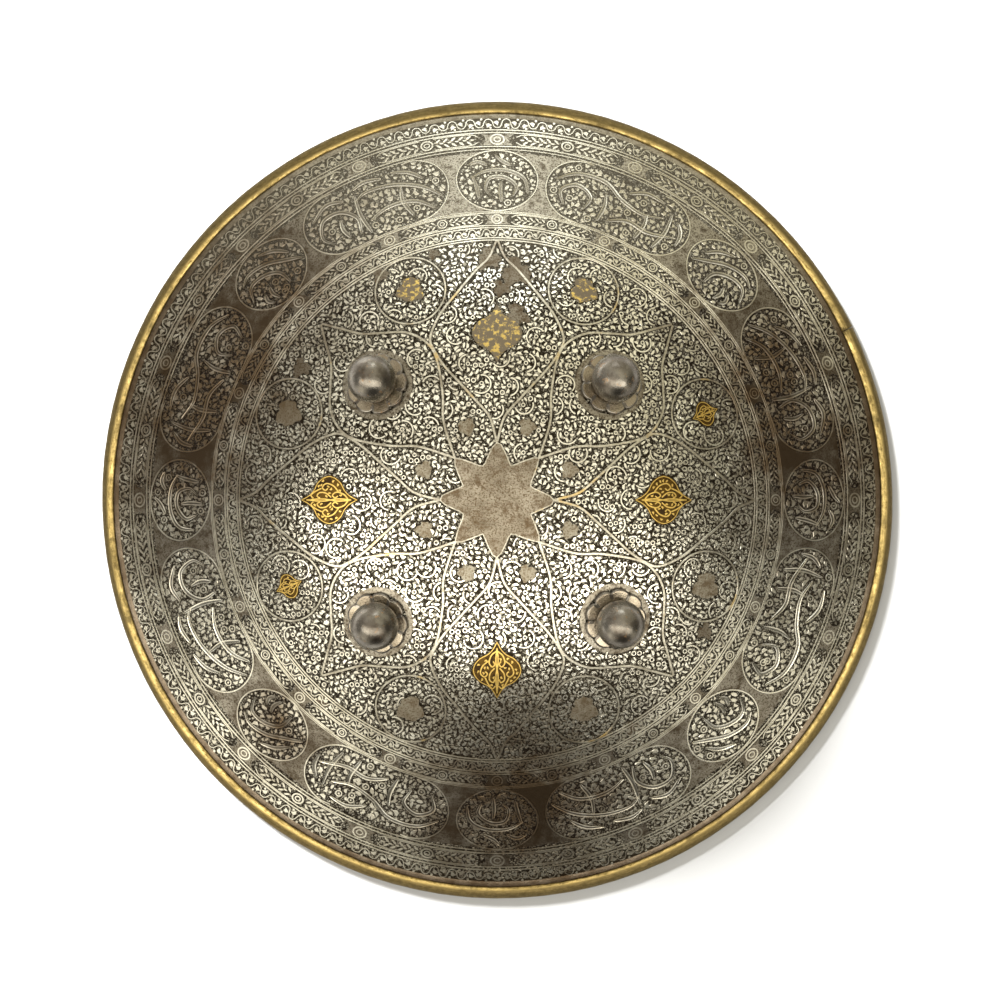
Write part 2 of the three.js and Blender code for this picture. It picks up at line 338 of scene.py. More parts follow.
def steel_material(
        name, bright, dull, brown, roughness, metallic, bump, bump_scale, speckle=0.0, recessed=False):
    """Steel whose colour runs from bright to dull by grime, is painted duller on the far side as sheen, and
    runs to brown where the drifts lie, which along the lower edge is painted shade.
    """
    material, w, shader, place = start_material(name)
    marks = w.new("ShaderNodeGroup", {}, node_tree=patina_sheen_and_shade)
    w.join(place, marks.inputs["Place"])
    colour = w.mix(marks.outputs["Grime"], bright, dull)
    # Painted sheen: the tops on the far side are painted duller.
    colour = w.mix(w.times(marks.outputs["Far_sheen"], 0.7), colour, (0.36, 0.33, 0.26, 1))
    # Browning, and painted shade at the lower edge: where the drifts lie the colour runs to the darker
    # brown.
    colour = w.mix(marks.outputs["Brown_and_shade"], colour, brown)
    if speckle:
        pits = w.math("MAXIMUM", w.ramp(w.noise(place, 1100.0, 3.0, 0.7), 0.5, 0.6),
                      w.ramp(w.noise(place, 210.0, 6.0, 0.75), 0.5, 0.62))
        colour = w.mix(w.times(pits, speckle), colour, brown)
    if recessed:
        stand = w.new("ShaderNodeAttribute", attribute_name="stand").outputs["Fac"]
        # Painted sheen: at the foot too, the far side is painted lighter.
        foot = w.mix(marks.outputs["Far_sheen"], (0.016, 0.0115, 0.007, 1), (0.09, 0.078, 0.058, 1))
        colour = w.mix(w.ramp(stand, 0.15, 0.8), foot, colour)
    w.join(colour, shader.inputs["Base Color"])
    rough = w.plus(w.times(marks.outputs["Fine"], 0.16), roughness - 0.08)
    rough = w.plus(rough, w.times(marks.outputs["Brown_and_shade"], 0.1))
    w.join(rough, shader.inputs["Roughness"])
    shader.inputs["Metallic"].default_value = metallic
    relief = w.noise(place, bump_scale, 3.0, 0.6)
    lumps = w.new("ShaderNodeBump", {"Strength": bump, "Distance": 0.0002, "Height": relief})
    w.join(lumps.outputs["Normal"], shader.inputs["Normal"])
    return material


ground_steel = steel_material(
    "sunk_ground", (0.105, 0.082, 0.052, 1), (0.066, 0.048, 0.029, 1), (0.05, 0.027, 0.012, 1),
    0.44, 1.0, 0.9, 2200)
# The smallest tool marks between the leaves: warped cells a millimetre or two across, lighter
# than the cuts that part them, out as far as the plain band.
w = Nodes(ground_steel.node_tree)
shader = ground_steel.node_tree.nodes["Principled BSDF"]
place = w.new("ShaderNodeTexCoord").outputs["Object"]
warp = w.new("ShaderNodeTexNoise", {"Vector": place, "Scale": 260.0, "Detail": 2.0}).outputs["Color"]
warp_reach = (0.0034, 0.0034, 0.0034)
warp = w.new("ShaderNodeVectorMath", {0: warp, 1: warp_reach}, operation="MULTIPLY").outputs["Vector"]
warped = w.new("ShaderNodeVectorMath", {0: place, 1: warp}, operation="ADD").outputs["Vector"]
cuts = w.new("ShaderNodeTexVoronoi", {"Vector": warped, "Scale": 600.0}, feature="DISTANCE_TO_EDGE")
cuts = cuts.outputs["Distance"]
flat = w.new("ShaderNodeVectorMath", {0: place, 1: (1, 1, 0)}, operation="MULTIPLY").outputs["Vector"]
from_crown = w.new("ShaderNodeVectorMath", {0: flat}, operation="LENGTH").outputs["Value"]
worked = w.ramp(from_crown, 0.1908, 0.1895)
body = w.times(w.ramp(cuts, 0.08, 0.24), worked)
base = w.mix(0.8, shader.inputs["Base Color"].links[0].from_socket, (0.0, 0.0, 0.0, 1))
marks = next(node for node in ground_steel.node_tree.nodes if node.bl_idname == "ShaderNodeGroup")
# Painted sheen: the sunk ground on the far side is painted lighter.
base = w.mix(w.times(marks.outputs["Far_sheen"], 0.8), base, (0.09, 0.078, 0.058, 1))
light_marks = w.mix(
    w.ramp(w.noise(place, 500.0, 2.0), 0.3, 0.6), (0.06, 0.049, 0.033, 1), (0.35, 0.325, 0.26, 1))
light_marks = w.mix(w.times(marks.outputs["Brown_and_shade"], 0.85), light_marks, (0.05, 0.031, 0.015, 1))
w.join(w.mix(body, base, light_marks), shader.inputs["Base Color"])
relief = w.plus(body, w.times(w.noise(place, 2200.0, 3.0, 0.6), 0.5))
w.join(relief, shader.inputs["Normal"].links[0].from_node.inputs["Height"])
bright_steel = steel_material(
    "standing_steel", (0.95, 0.92, 0.8, 1), (0.56, 0.52, 0.42, 1), (0.13, 0.09, 0.05, 1),
    0.25, 1.0, 0.4, 1500, recessed=True)
ribbon_steel = steel_material(
    "ribbon_steel", (0.7, 0.66, 0.55, 1), (0.36, 0.33, 0.25, 1), (0.11, 0.072, 0.04, 1),
    0.3, 1.0, 0.4, 1500, speckle=0.5, recessed=True)
# Traces of gold stay here and there on the ribbons.
w = Nodes(ribbon_steel.node_tree)
shader = ribbon_steel.node_tree.nodes["Principled BSDF"]
trace = w.ramp(w.noise(w.new("ShaderNodeTexCoord").outputs["Object"], 34.0, 5.0, 0.7), 0.57, 0.66)
under_gold = shader.inputs["Base Color"].links[0].from_socket
colour = w.mix(w.times(trace, 0.75), under_gold, (0.6, 0.4, 0.11, 1))
w.join(colour, shader.inputs["Base Color"])
border_steel = steel_material(
    "border_steel", (0.9, 0.86, 0.73, 1), (0.5, 0.46, 0.36, 1), (0.14, 0.098, 0.058, 1),
    0.27, 1.0, 0.4, 1500, recessed=True)
smooth_face = steel_material(
    "smooth_old_face", (0.34, 0.31, 0.25, 1), (0.17, 0.145, 0.105, 1), (0.042, 0.026, 0.012, 1),
    0.32, 1.0, 0.6, 1900, speckle=0.85, recessed=True)
star_face = steel_material(
    "worn_star", (0.3, 0.262, 0.2, 1), (0.13, 0.105, 0.072, 1), (0.085, 0.055, 0.028, 1),
    0.38, 1.0, 0.9, 1200, speckle=0.9, recessed=True)
# Painted shade: the plain band's old face is painted dark, as the shade in the gap under the binding's lip.
shaded_plain_steel = steel_material(
    "plain_band", (0.18, 0.145, 0.105, 1), (0.095, 0.072, 0.048, 1), (0.045, 0.027, 0.013, 1),
    0.34, 1.0, 0.5, 1900, speckle=0.5)
back_steel = steel_material(
    "back_of_plate", (0.16, 0.145, 0.13, 1), (0.1, 0.09, 0.08, 1), (0.08, 0.055, 0.04, 1),
    0.58, 0.9, 0.6, 700)

around = 288
plain_band_from = 191.3
front_radii = np.concatenate([
    np.linspace(0, plain_band_from - 0.4, 110), [plain_band_from, 194, edge_radius]])
front_lifts = np.where(front_radii < plain_band_from - 0.1, -ground_depth, 0.0)
back_radii = np.linspace(edge_radius, 0, 56)
back_lifts = np.full(back_radii.size, -plate_thickness)
rings = np.concatenate([front_radii, back_radii])
lifts = np.concatenate([front_lifts, back_lifts])
turn = np.linspace(0, 2 * np.pi, around, endpoint=False)
plate_points = on_dish(rings[:, None] * np.cos(turn), rings[:, None] * np.sin(turn), lifts[:, None])
plate_faces = grid_faces(rings.size, around, wrap_columns=True)
# The crown of each face is one point, so its first ring of faces closes on it.
plate = add_piece("steel_dish", plate_points, plate_faces[:, ::-1], ground_steel)
plate.data.materials.append(shaded_plain_steel)
plate.data.materials.append(back_steel)
ring_of_face = np.repeat(np.arange(rings.size - 1), around)
zone = (ring_of_face >= front_radii.size - 4).astype(np.int32) + (ring_of_face >= front_radii.size)
plate.data.polygons.foreach_set("material_index", zone)
weld(plate)
shadow_casters.objects.link(plate)
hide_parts("shield_plate")


# The chiseller's plan: what the ornament stands on is marked off first, line by line, so that
# no leaf is cut across a frame. Each shape is then left standing by sinking the ground round
# it, its flat top still the old face of the plate and its sides sloped by the chisel.

plan_reach, plan_cell = 198.0, 0.2
plan_width = int(2 * plan_reach / plan_cell)
taken = np.zeros((plan_width, plan_width), bool)
plan_middles = (np.arange(plan_width) + 0.5) * plan_cell - plan_reach
plan_radius = np.hypot(plan_middles[None, :], plan_middles[:, None])
foot_lift = -ground_depth - 0.06


def cells(x, y):
    """The plan's cells that hold these points, as row and column indices."""
    row = np.clip(((y + plan_reach) / plan_cell).astype(int), 0, plan_width - 1)
    column = np.clip(((x + plan_reach) / plan_cell).astype(int), 0, plan_width - 1)
    return row, column


def disc_of_points(step):
    """Points a step apart that fill a disc of radius 1."""
    line = np.arange(-1, 1 + step / 2, step)
    x, y = (a.ravel() for a in np.meshgrid(line, line))
    keep = np.hypot(x, y) <= 1
    return x[keep], y[keep]


def take_line(path, half_width):
    """Marks the plan taken within a distance of a path."""
    lengths = np.concatenate([[0], np.cumsum(np.hypot(*np.diff(path, axis=0).T))])
    along = np.arange(0, lengths[-1], 0.25)
    x = np.interp(along, lengths, path[:, 0])[:, None]
    y = np.interp(along, lengths, path[:, 1])[:, None]
    disc_x, disc_y = disc_of_points(min(0.18 / half_width, 0.5))
    taken[cells(x + half_width * disc_x, y + half_width * disc_y)] = True


def inside(outline):
    """The plan's cells inside a closed outline, by counting the edges crossed on the way out."""
    low, high = outline.min(0), outline.max(0)
    (row_0, row_1), (column_0, column_1) = cells(np.array([low[0], high[0]]), np.array([low[1], high[1]]))
    x = plan_middles[None, column_0:column_1 + 1]
    y = plan_middles[row_0:row_1 + 1, None]
    odd = np.zeros((y.size, x.size), bool)
    for (ax, ay), (bx, by) in zip(outline, np.roll(outline, -1, 0)):
        if ay != by:
            odd ^= ((ay > y) != (by > y)) & (x < (bx - ax) * (y - ay) / (by - ay) + ax)
    where = np.zeros_like(taken)
    where[row_0:row_1 + 1, column_0:column_1 + 1] = odd
    return where


def joined(parts):
    """Several (points, faces) pairs as one."""
    starts = np.cumsum([0] + [len(points) for points, _ in parts])
    return (np.concatenate([points for points, _ in parts]),
            np.concatenate([faces + start for (_, faces), start in zip(parts, starts)]))


def relief_piece(name, parts, material):
    """One piece of standing relief, flat shaded, from its (points, faces) pairs."""
    piece = add_piece(name, *joined(parts), material, smooth=False)
    mark_stand(piece)
    return piece


def band(left, right, top=0.0, columns=0, side=0.18, closed=False, shares=None):
    """A strip between two plan paths: a row of top corners across it, and a foot outside each edge."""
    reach = left - right
    unit = reach / np.hypot(*reach.T)[:, None]
    shares = np.linspace(0, 1, columns + 2) if shares is None else np.array(shares)
    tops = left[:, None] - reach[:, None] * shares[None, :, None]
    corners = np.concatenate([(left + unit * side)[:, None], tops, (right - unit * side)[:, None]], 1)
    lift = np.concatenate([[foot_lift], np.broadcast_to(top, (columns + 2,)), [foot_lift]])
    points = on_dish(corners[..., 0], corners[..., 1], lift).reshape(-1, 3)
    wide = columns + 4
    faces = grid_faces(len(left), wide, wrap_columns=True, wrap_rows=closed)
    if closed:
        return points, faces
    low = np.arange(wide // 2 - 1)[:, None]
    start_cap = np.concatenate([wide - 1 - low, wide - 2 - low, low + 1, low], 1)
    end_cap = start_cap[:, ::-1] + wide * (len(left) - 1)
    return points, np.concatenate([faces, start_cap, end_cap])


def ridge(path, width, top=0.0, closed=False, side=0.18, columns=0, shares=None):
    """A strip of even or varying width along a plan path."""
    ahead = np.roll(path, -1, 0) - np.roll(path, 1, 0)
    if not closed:
        ahead[0], ahead[-1] = path[1] - path[0], path[-1] - path[-2]
    across = np.stack([-ahead[:, 1], ahead[:, 0]], -1) / np.hypot(*ahead.T)[:, None]
    half = np.broadcast_to(np.asarray(width) / 2, (len(path),))[:, None]
    return band(path + across * half, path - across * half, top, columns, side, closed, shares)


def circle(radius, x=0.0, y=0.0, steps=None):
    """A ring of plan points, about a millimetre and a half apart unless told how many."""
    steps = steps or max(10, int(2 * np.pi * radius / 1.6))
    turn = np.linspace(0, 2 * np.pi, steps, endpoint=False)
    return np.stack([x + radius * np.cos(turn), y + radius * np.sin(turn)], -1)


def standing(outline, x, y, turn, length, width, top, inset=0.8):
    """Many copies of a six-cornered outline, each a closed block with its top drawn in."""
    x, y, turn, length, width, top = (
        np.broadcast_to(np.asarray(a, float), np.shape(x))[:, None]
        for a in (x, y, turn, length, width, top))
    rings = []
    for share, lift in ((1.0, foot_lift), (inset, top)):
        along, across = outline[:, 0] * length * share, outline[:, 1] * width * share
        px = x + along * np.cos(turn) - across * np.sin(turn)
        py = y + along * np.sin(turn) + across * np.cos(turn)
        rings.append(on_dish(px, py, np.broadcast_to(lift, px.shape)))
    points = np.concatenate(rings, 1).reshape(-1, 3)
    block = [[i, (i + 1) % 6, (i + 1) % 6 + 6, i + 6] for i in range(6)]
    block += [[6, 7, 8, 9], [6, 9, 10, 11], [3, 2, 1, 0], [5, 4, 3, 0]]
    starts = 12 * np.arange(len(x))[:, None, None]
    return points, (np.array(block)[None] + starts).reshape(-1, 4)


def leaf_outline(bend):
    """A leaf one long and one wide: a point, two shoulders a side, a tip, all bent to one side."""
    side = np.array([(-0.5, 0.0), (-0.2, -0.46), (0.22, -0.44), (0.5, 0.0), (0.2, 0.44), (-0.22, 0.46)])
    side[:, 1] += bend * (2 * side[:, 0]) ** 2
    return side


leaf_kinds = (leaf_outline(0.12), leaf_outline(0.75), leaf_outline(-0.75))
rng = np.random.default_rng(1207)
foot_x, foot_y = disc_of_points(0.17)


def room_for(x, y, turn, length, width, gap=0.14, where=None):
    """In order, whether each leaf's own oval still lies on bare plan; one that does takes it."""
    turn, length, width = (np.broadcast_to(np.asarray(a, float), np.shape(x)) for a in (turn, length, width))
    kept = np.zeros(len(x), bool)
    cos, sin = np.cos(turn), np.sin(turn)
    for i in range(len(x)):
        half_length, half_width = length[i] / 2, width[i] / 2
        u, v = foot_x * half_length, foot_y * half_width
        oval = cells(x[i] + u * cos[i] - v * sin[i], y[i] + u * sin[i] + v * cos[i])
        if taken[oval].any() or (where is not None and not where[oval].all()):
            continue
        u, v = foot_x * (half_length + gap), foot_y * (half_width + gap)
        taken[cells(x[i] + u * cos[i] - v * sin[i], y[i] + u * sin[i] + v * cos[i])] = True
        kept[i] = True
    return kept


def leaves(x, y, turn, length, width, gap=0.14, where=None, top=0.0):
    """The leaves that find room, as standing shapes of the three kinds."""
    x, y, turn, length, width = (
        np.broadcast_to(np.asarray(a, float), np.shape(x)) for a in (x, y, turn, length, width))
    kept = room_for(x, y, turn, length, width, gap, where)
    x, y, turn, length, width = (a[kept] for a in (x, y, turn, length, width))
    kind = rng.integers(0, 3, len(x))
    height = top + rng.uniform(-0.05, 0.02, len(x))
    parts = [standing(outline, *(a[kind == k] for a in (x, y, turn, length, width, height)))
             for k, outline in enumerate(leaf_kinds) if (kind == k).any()]
    return joined(parts)


def smooth_path(points, step=1.2):
    """A curve through the points: on each span, the cubic whose slopes run parallel to its neighbours."""
    points = np.asarray(points, float)
    ends = np.concatenate([[2 * points[0] - points[1]], points, [2 * points[-1] - points[-2]]])
    spans = []
    for a, b, c, d in zip(ends, ends[1:], ends[2:], ends[3:]):
        t = np.linspace(0, 1, max(2, int(np.hypot(*(c - b)) / step) + 1), endpoint=False)[:, None]
        spans.append(0.5 * (2 * b + (c - a) * t + (2 * a - 5 * b + 4 * c - d) * t ** 2
                            + (3 * b - a - 3 * c + d) * t ** 3))
    return np.concatenate(spans + [points[-1:]])


def turned_about(path, degrees, mirrored=False):
    """A plan path turned about the crown, first mirrored in its own middle line if asked."""
    x, y = path[:, 0], path[:, 1] * (-1 if mirrored else 1)
    a = math.radians(degrees)
    return np.stack([x * math.cos(a) - y * math.sin(a), x * math.sin(a) + y * math.cos(a)], -1)


def raised_plate(outline, x=0.0, y=0.0, top=0.0, rings=5):
    """A flat-topped plate with a closed outline, as rings drawn in to its middle on both faces."""
    middle = np.array([x, y])
    shares = np.concatenate([np.linspace(0, 1, rings), [1.0, 0.5, 0.0]])
    lifts = np.concatenate([np.full(rings, top), np.full(3, foot_lift)])
    shares[rings - 1] -= 0.012
    ring_points = middle + (outline - middle)[None] * shares[:, None, None]
    points = on_dish(ring_points[..., 0], ring_points[..., 1], lifts[:, None])
    return points.reshape(-1, 3), grid_faces(shares.size, len(outline), wrap_columns=True)[:, ::-1]


# The star and the ribbons of the field. Plain ribbons start at the points of an eight-pointed
# star on the crown and run out to the border. They frame four large medallions up, down and
# across, four boss frames between them, and eight small roundels against the border.

star_cusp_radius, star_inner_radius = 26.4, 16.6
star_outline = []
for k in range(8):
    tip = star_cusp_radius * (0.98 if k % 2 == 0 else 1.02)
    for share, radius in (
            (0.0, tip), (0.1, tip * 0.93), (0.24, tip * 0.79), (0.38, tip * 0.68),
            (0.5, star_inner_radius), (0.62, tip * 0.68), (0.76, tip * 0.79), (0.9, tip * 0.93)):
        turn_here = math.radians(45 * (k + share))
        star_outline.append((radius * math.cos(turn_here), radius * math.sin(turn_here)))
star_outline = np.array(star_outline)

medallion_side = [(26.0, 0.0), (37.6, 3.4), (46.3, 10.7), (53.7, 17.4), (60.6, 23.6), (67.8, 28.4),
                  (74.5, 30.6), (85.4, 26.4), (96.0, 18.6), (107.4, 9.7), (113.9, 3.8), (122.6, 0.3)]
boss_frame_side = [(27.0, 0.0), (42.2, 8.0), (51.6, 16.7), (64.8, 25.9), (73.8, 28.2), (83.8, 25.1),
                   (92.0, 17.3), (99.0, 10.2), (107.8, 5.3), (117.2, 0.3)]
roundel_radius, roundel_out = 16.6, 105.9

ribbon_width, ribbon_margin = 0.9, 0.75
ribbons = []
for quarter in range(4):
    for mirrored in (False, True):
        ribbons.append(turned_about(smooth_path(medallion_side), 90 * quarter, mirrored))
        ribbons.append(turned_about(smooth_path(boss_frame_side), 90 * quarter + 45, mirrored))
roundel_middles = np.radians(22.5 + 45 * np.arange(8))
roundels = [
    circle(roundel_radius, roundel_out * math.cos(a), roundel_out * math.sin(a)) for a in roundel_middles]

bosses = (  # name, plan radius, degrees, how far its washer is off its middle
    ("upper_left", 76.3, 136.0, 0.0), ("upper_right", 74.3, 45.6, 0.0),
    ("lower_left", 77.0, 225.8, 1.6), ("lower_right", 76.8, 314.8, 0.0))
boss_circle_radius = 15.9

bare = (  # plan discs where wear has taken the ornament: x, y, radius
    (41, 57, 5.0), (9, 106, 6.5), (-4, 113, 5), (2, 98, 3.5), (-55, 106, 3.5), (-92, 62, 4),
    (98, -62, 3.5), (9, 85, 5.0), (-83, -96, 3.0), (64, -108, 3.0), (-30, 116, 2.6))


def ragged(x, y, radius, depth=0.22):
    """A worn patch's edge: a circle pushed in and out by waves of three, five and nine."""
    turn = np.linspace(0, 2 * np.pi, 48, endpoint=False)
    push = np.sin(3 * turn + x) + 0.7 * np.sin(5 * turn + y) + 0.5 * np.sin(9 * turn + x + y)
    return polar_point(x, y, radius * (1 + depth * push), turn)


def polar_point(x, y, radius, turn):
    """Plan points at a radius and an angle about a middle."""
    return np.stack([x + radius * np.cos(turn), y + radius * np.sin(turn)], -1)


for x, y, radius in bare:
    taken |= inside(ragged(x, y, radius))
taken |= inside(star_outline)
for _, out_by, degrees, off in bosses:
    a = math.radians(degrees)
    taken |= inside(circle(boss_circle_radius, (out_by + off) * math.cos(a), (out_by + off) * math.sin(a)))
for path in ribbons:
    take_line(path, ribbon_margin)
for path in roundels:
    take_line(np.concatenate([path, path[:1]]), ribbon_margin)
take_line(np.concatenate([star_outline, star_outline[:1]]), ribbon_margin)

boss_rings = []
ribbon_parts = [ridge(path, ribbon_width) for path in ribbons]
ribbon_parts += [ridge(path, 0.6, closed=True) for path in roundels]
for _, out_by, degrees, off in bosses:
    a = math.radians(degrees)
    middle = (out_by + off) * math.cos(a), (out_by + off) * math.sin(a)
    boss_rings.append(ridge(circle(15.1, *middle, steps=72), 2.6, -0.03, closed=True))
ribbon_parts += [ridge(star_outline, 0.5, closed=True, top=0.02)]
field_ribbons = relief_piece("field_ribbons", ribbon_parts, ribbon_steel)
boss_lands = relief_piece("lands_round_the_bosses", boss_rings, smooth_face)
worn_parts = [raised_plate(star_outline, top=-0.05)]
for x, y, radius in bare:
    worn_parts.append(raised_plate(ragged(x, y, radius), x, y, -0.09))
worn_patches = add_piece("star_and_worn_patches", *joined(worn_parts), star_face, smooth=False)
weld(worn_patches)
mark_stand(worn_patches)


# Lozenges: four large ones in the medallions and eight small ones in the roundels, all once
# damascened in gold over a scored ground. Three large ones keep their gold; the top one and
# most of the small ones are worn back to grey steel and brown.

lozenge_quarter = [(1.0, 0.0), (0.74, 0.17), (0.55, 0.4), (0.42, 0.7), (0.2, 0.93), (0.0, 1.0)]


def lozenge(out_by, degrees, long_half, wide_half):
    """A pointed quatrefoil: one quarter of its edge, mirrored twice, its long way pointing out."""
    quarter = smooth_path(np.array(lozenge_quarter), 0.12)
    edge = np.concatenate([quarter, quarter[::-1] * (-1, 1), quarter * (-1, -1), quarter[::-1] * (1, -1)])
    keep = np.hypot(*(edge - np.roll(edge, 1, 0)).T) > 1e-6
    edge = edge[keep] * (long_half, wide_half) + (out_by, 0)
    return turned_about(edge, degrees)


large_lozenges = [(77.0, 0.0), (77.5, 180.0), (78.0, 270.0)]
small_lozenges = [(roundel_out, 22.5 + 45 * k) for k in range(8)]
tiny_lozenges = [(35.8, 22.5 + 45 * k) for k in range(8)]


def damascene_material(name, gold, ground, cover, grain=240.0):
    """Beaten gold over scored steel: the gold shows where it has not been rubbed away."""
    material, w, shader, place = start_material(name)
    left = w.plus(w.times(w.noise(place, grain, 4.0, 0.65), 1.4), cover - 0.7)
    left = w.ramp(left, 0.42, 0.56)
    tone = w.mix(w.noise(place, 900.0, 2.0), gold, tuple(c * 0.6 for c in gold[:3]) + (1,))
    w.join(w.mix(left, ground, tone), shader.inputs["Base Color"])
    w.join(w.math("SUBTRACT", 0.52, w.times(left, 0.2)), shader.inputs["Roughness"])
    shader.inputs["Metallic"].default_value = 1.0
    height = w.noise(place, 1800.0, 3.0)
    lumps = w.new("ShaderNodeBump", {"Strength": 0.5, "Distance": 0.0002, "Height": height})
    w.join(lumps.outputs["Normal"], shader.inputs["Normal"])
    return material


gold_leaf = damascene_material("gold_scrolls", (0.82, 0.56, 0.15, 1), (0.2, 0.12, 0.045, 1), 0.8)
gold_ground = damascene_material("gold_ground", (0.12, 0.068, 0.016, 1), (0.04, 0.024, 0.011, 1), 0.5)
gold_worn = damascene_material("gold_worn", (0.7, 0.5, 0.15, 1), (0.16, 0.13, 0.09, 1), 0.4, 430.0)
lozenge_steel = steel_material(
    "worn_lozenge", (0.29, 0.265, 0.205, 1), (0.2, 0.17, 0.12, 1), (0.1, 0.066, 0.034, 1),
    0.4, 1.0, 0.9, 1600, speckle=0.8, recessed=True)

large_half, small_half, tiny_half = (14.0, 11.6), (7.4, 6.4), (4.6, 3.9)
gold_plates, gold_shapes, worn_plates, faint_plates = [], [], [], []
lozenge_curls = (  # one half of the scrollwork, along and across: a stalk, then four curling stems
    [(-10.5, 0.0), (-4.0, 0.5), (3.0, -0.5), (11.0, 0.0)],
    [(-9.0, 0.4), (-7.0, 2.6), (-3.6, 3.6), (-1.6, 2.2), (-2.8, 1.0), (-4.2, 1.8)],
    [(-4.5, 3.8), (-2.0, 6.6), (1.4, 7.6), (3.2, 5.8), (1.8, 4.4), (0.6, 5.4)],
    [(-1.0, 1.2), (1.6, 3.2), (4.6, 3.4), (5.8, 1.8), (4.4, 0.9)],
    [(3.6, 5.4), (6.6, 4.0), (8.8, 2.2), (7.6, 0.8)])


def worked_in_gold(out_by, degrees, halves, size, leaf):
    """Gold on one lozenge: its line, its curling stems, and small leaves in what room is left."""
    line = lozenge(out_by, degrees, halves[0] - 0.7, halves[1] - 0.7)
    shapes = [ridge(line, 0.32, 0.02, closed=True, side=0.1)]
    for curl in lozenge_curls:
        for side in (1, -1):
            flat = smooth_path(np.array(curl) * (size, side * size), 0.7) + (out_by, 0)
            stem = turned_about(flat, degrees)
            shapes.append(ridge(stem, 0.55 * size ** 0.5, 0.02, side=0.1))
            take_line(stem, 0.36)
    tries = 1500
    x, y = rng.uniform(-halves[0], halves[0], (2, tries))
    spot = turned_about(np.stack([x + out_by, y], -1), degrees)
    room = inside(lozenge(out_by, degrees, halves[0] - 1.3, halves[1] - 1.3))
    shapes.append(leaves(*spot.T, rng.uniform(0, 6.28, tries), leaf, leaf * 0.5, 0.16, room))
    return shapes


for out_by, degrees in large_lozenges:
    edge = lozenge(out_by, degrees, *large_half)
    gold_plates.append(raised_plate(edge, *turned_about(np.array([[out_by, 0.0]]), degrees)[0], top=-0.1))
    gold_shapes += worked_in_gold(out_by, degrees, large_half, 1.0, 1.9)
    taken |= inside(lozenge(out_by, degrees, large_half[0] + 0.6, large_half[1] + 0.6))
top_out_by, top_degrees = 76.5, 90.0
taken |= inside(lozenge(top_out_by, top_degrees, large_half[0] + 0.4, large_half[1] + 0.4))
faint_plates.append(raised_plate(lozenge(top_out_by, top_degrees, *large_half), 0.0, top_out_by, -0.07))
for k, (out_by, degrees) in enumerate(small_lozenges):
    middle = turned_about(np.array([[out_by, 0.0]]), degrees)[0]
    if k in (0, 4):
        edge = lozenge(out_by, degrees, *small_half)
    else:
        edge = ragged(*middle, small_half[0] * 0.82, 0.11)
    made = raised_plate(edge, *middle, top=-0.06)
    {0: gold_plates, 1: faint_plates, 2: faint_plates, 4: gold_plates}.get(k, worn_plates).append(made)
    if k in (0, 4):
        gold_shapes += worked_in_gold(out_by, degrees, small_half, 0.5, 1.6)
    taken |= inside(edge)
    take_line(np.concatenate([edge, edge[:1]]), 0.3)
for out_by, degrees in tiny_lozenges:
    middle = turned_about(np.array([[out_by, 0.0]]), degrees)[0]
    edge = ragged(*middle, tiny_half[0] * 0.8, 0.13)
    taken |= inside(edge)
    worn_plates.append(raised_plate(edge, *middle, top=-0.06, rings=3))

for name, parts, material, slot in (
        ("gold_lozenges", gold_plates, gold_ground, "rim_brass"),
        ("gold_lozenge_scrolls", gold_shapes, gold_leaf, "rim_brass"),
        ("faint_gold_lozenges", faint_plates, gold_worn, "rim_brass"),
        ("worn_lozenges", worn_plates, lozenge_steel, "chiselled_steel")):
    piece = add_piece(name, *joined(parts), material, smooth=False)
    weld(piece)
    mark_stand(piece)


# The leaves of the field: scrollwork of small flowers, each a bud with two rings of leaves
# swirling round it, and loose leaves packed into every gap that is left.

field_edge = 122.2
flower_gap = 12.2
row_gap = flower_gap * math.sqrt(3) / 2
rows = np.arange(-12, 13)
hex_x = (np.arange(-13, 14)[None, :] + 0.5 * (rows[:, None] % 2)) * flower_gap
hex_y = np.broadcast_to(rows[:, None] * row_gap, hex_x.shape)
flower_x = (hex_x + rng.uniform(-1.6, 1.6, hex_x.shape)).ravel()
flower_y = (hex_y + rng.uniform(-1.6, 1.6, hex_x.shape)).ravel()
in_field = np.hypot(flower_x, flower_y) < field_edge
flower_x, flower_y = flower_x[in_field], flower_y[in_field]
swirl = rng.choice([-1.0, 1.0], flower_x.size)
fields = plan_radius < field_edge

# A ringed bud in each flower, and pairs of rings side by side between them.
budded = room_for(flower_x, flower_y, 0.0, 1.9, 1.9, where=fields)
field_rings = [ridge(circle(0.8, x, y, 9), 0.42, closed=True, side=0.12)
               for x, y in zip(flower_x[budded], flower_y[budded])]
pair_tries = 420
loose_x, loose_y = rng.uniform(-122, 122, (2, pair_tries))
for apart in (0.0, 2.7):
    pair = room_for(loose_x + apart, loose_y, 0.0, 2.5, 2.5, 0.1, fields)
    field_rings += [ridge(circle(0.95, x + apart, y, 9), 0.46, closed=True, side=0.12)
                    for x, y in zip(loose_x[pair], loose_y[pair])]

# A short curling stem round each flower, cut off where it meets something already marked.
stems = []
for x, y, bend in zip(flower_x, flower_y, swirl):
    turn = rng.uniform(0, 6.28) + bend * np.linspace(0, rng.uniform(2.0, 4.6), 15)
    out_by = np.linspace(rng.uniform(3.6, 4.2), rng.uniform(4.3, 5.4), 15)
    path = np.stack([x + out_by * np.cos(turn), y + out_by * np.sin(turn)], -1)
    free = ~taken[cells(*path.T)] & (np.hypot(*path.T) < field_edge - 0.6)
    run = np.flatnonzero(~free)
    path = path[:run[0]] if run.size else path
    if len(path) > 5:
        stems.append(ridge(path, 0.6, -0.01, side=0.12))
        take_line(path, 0.5)


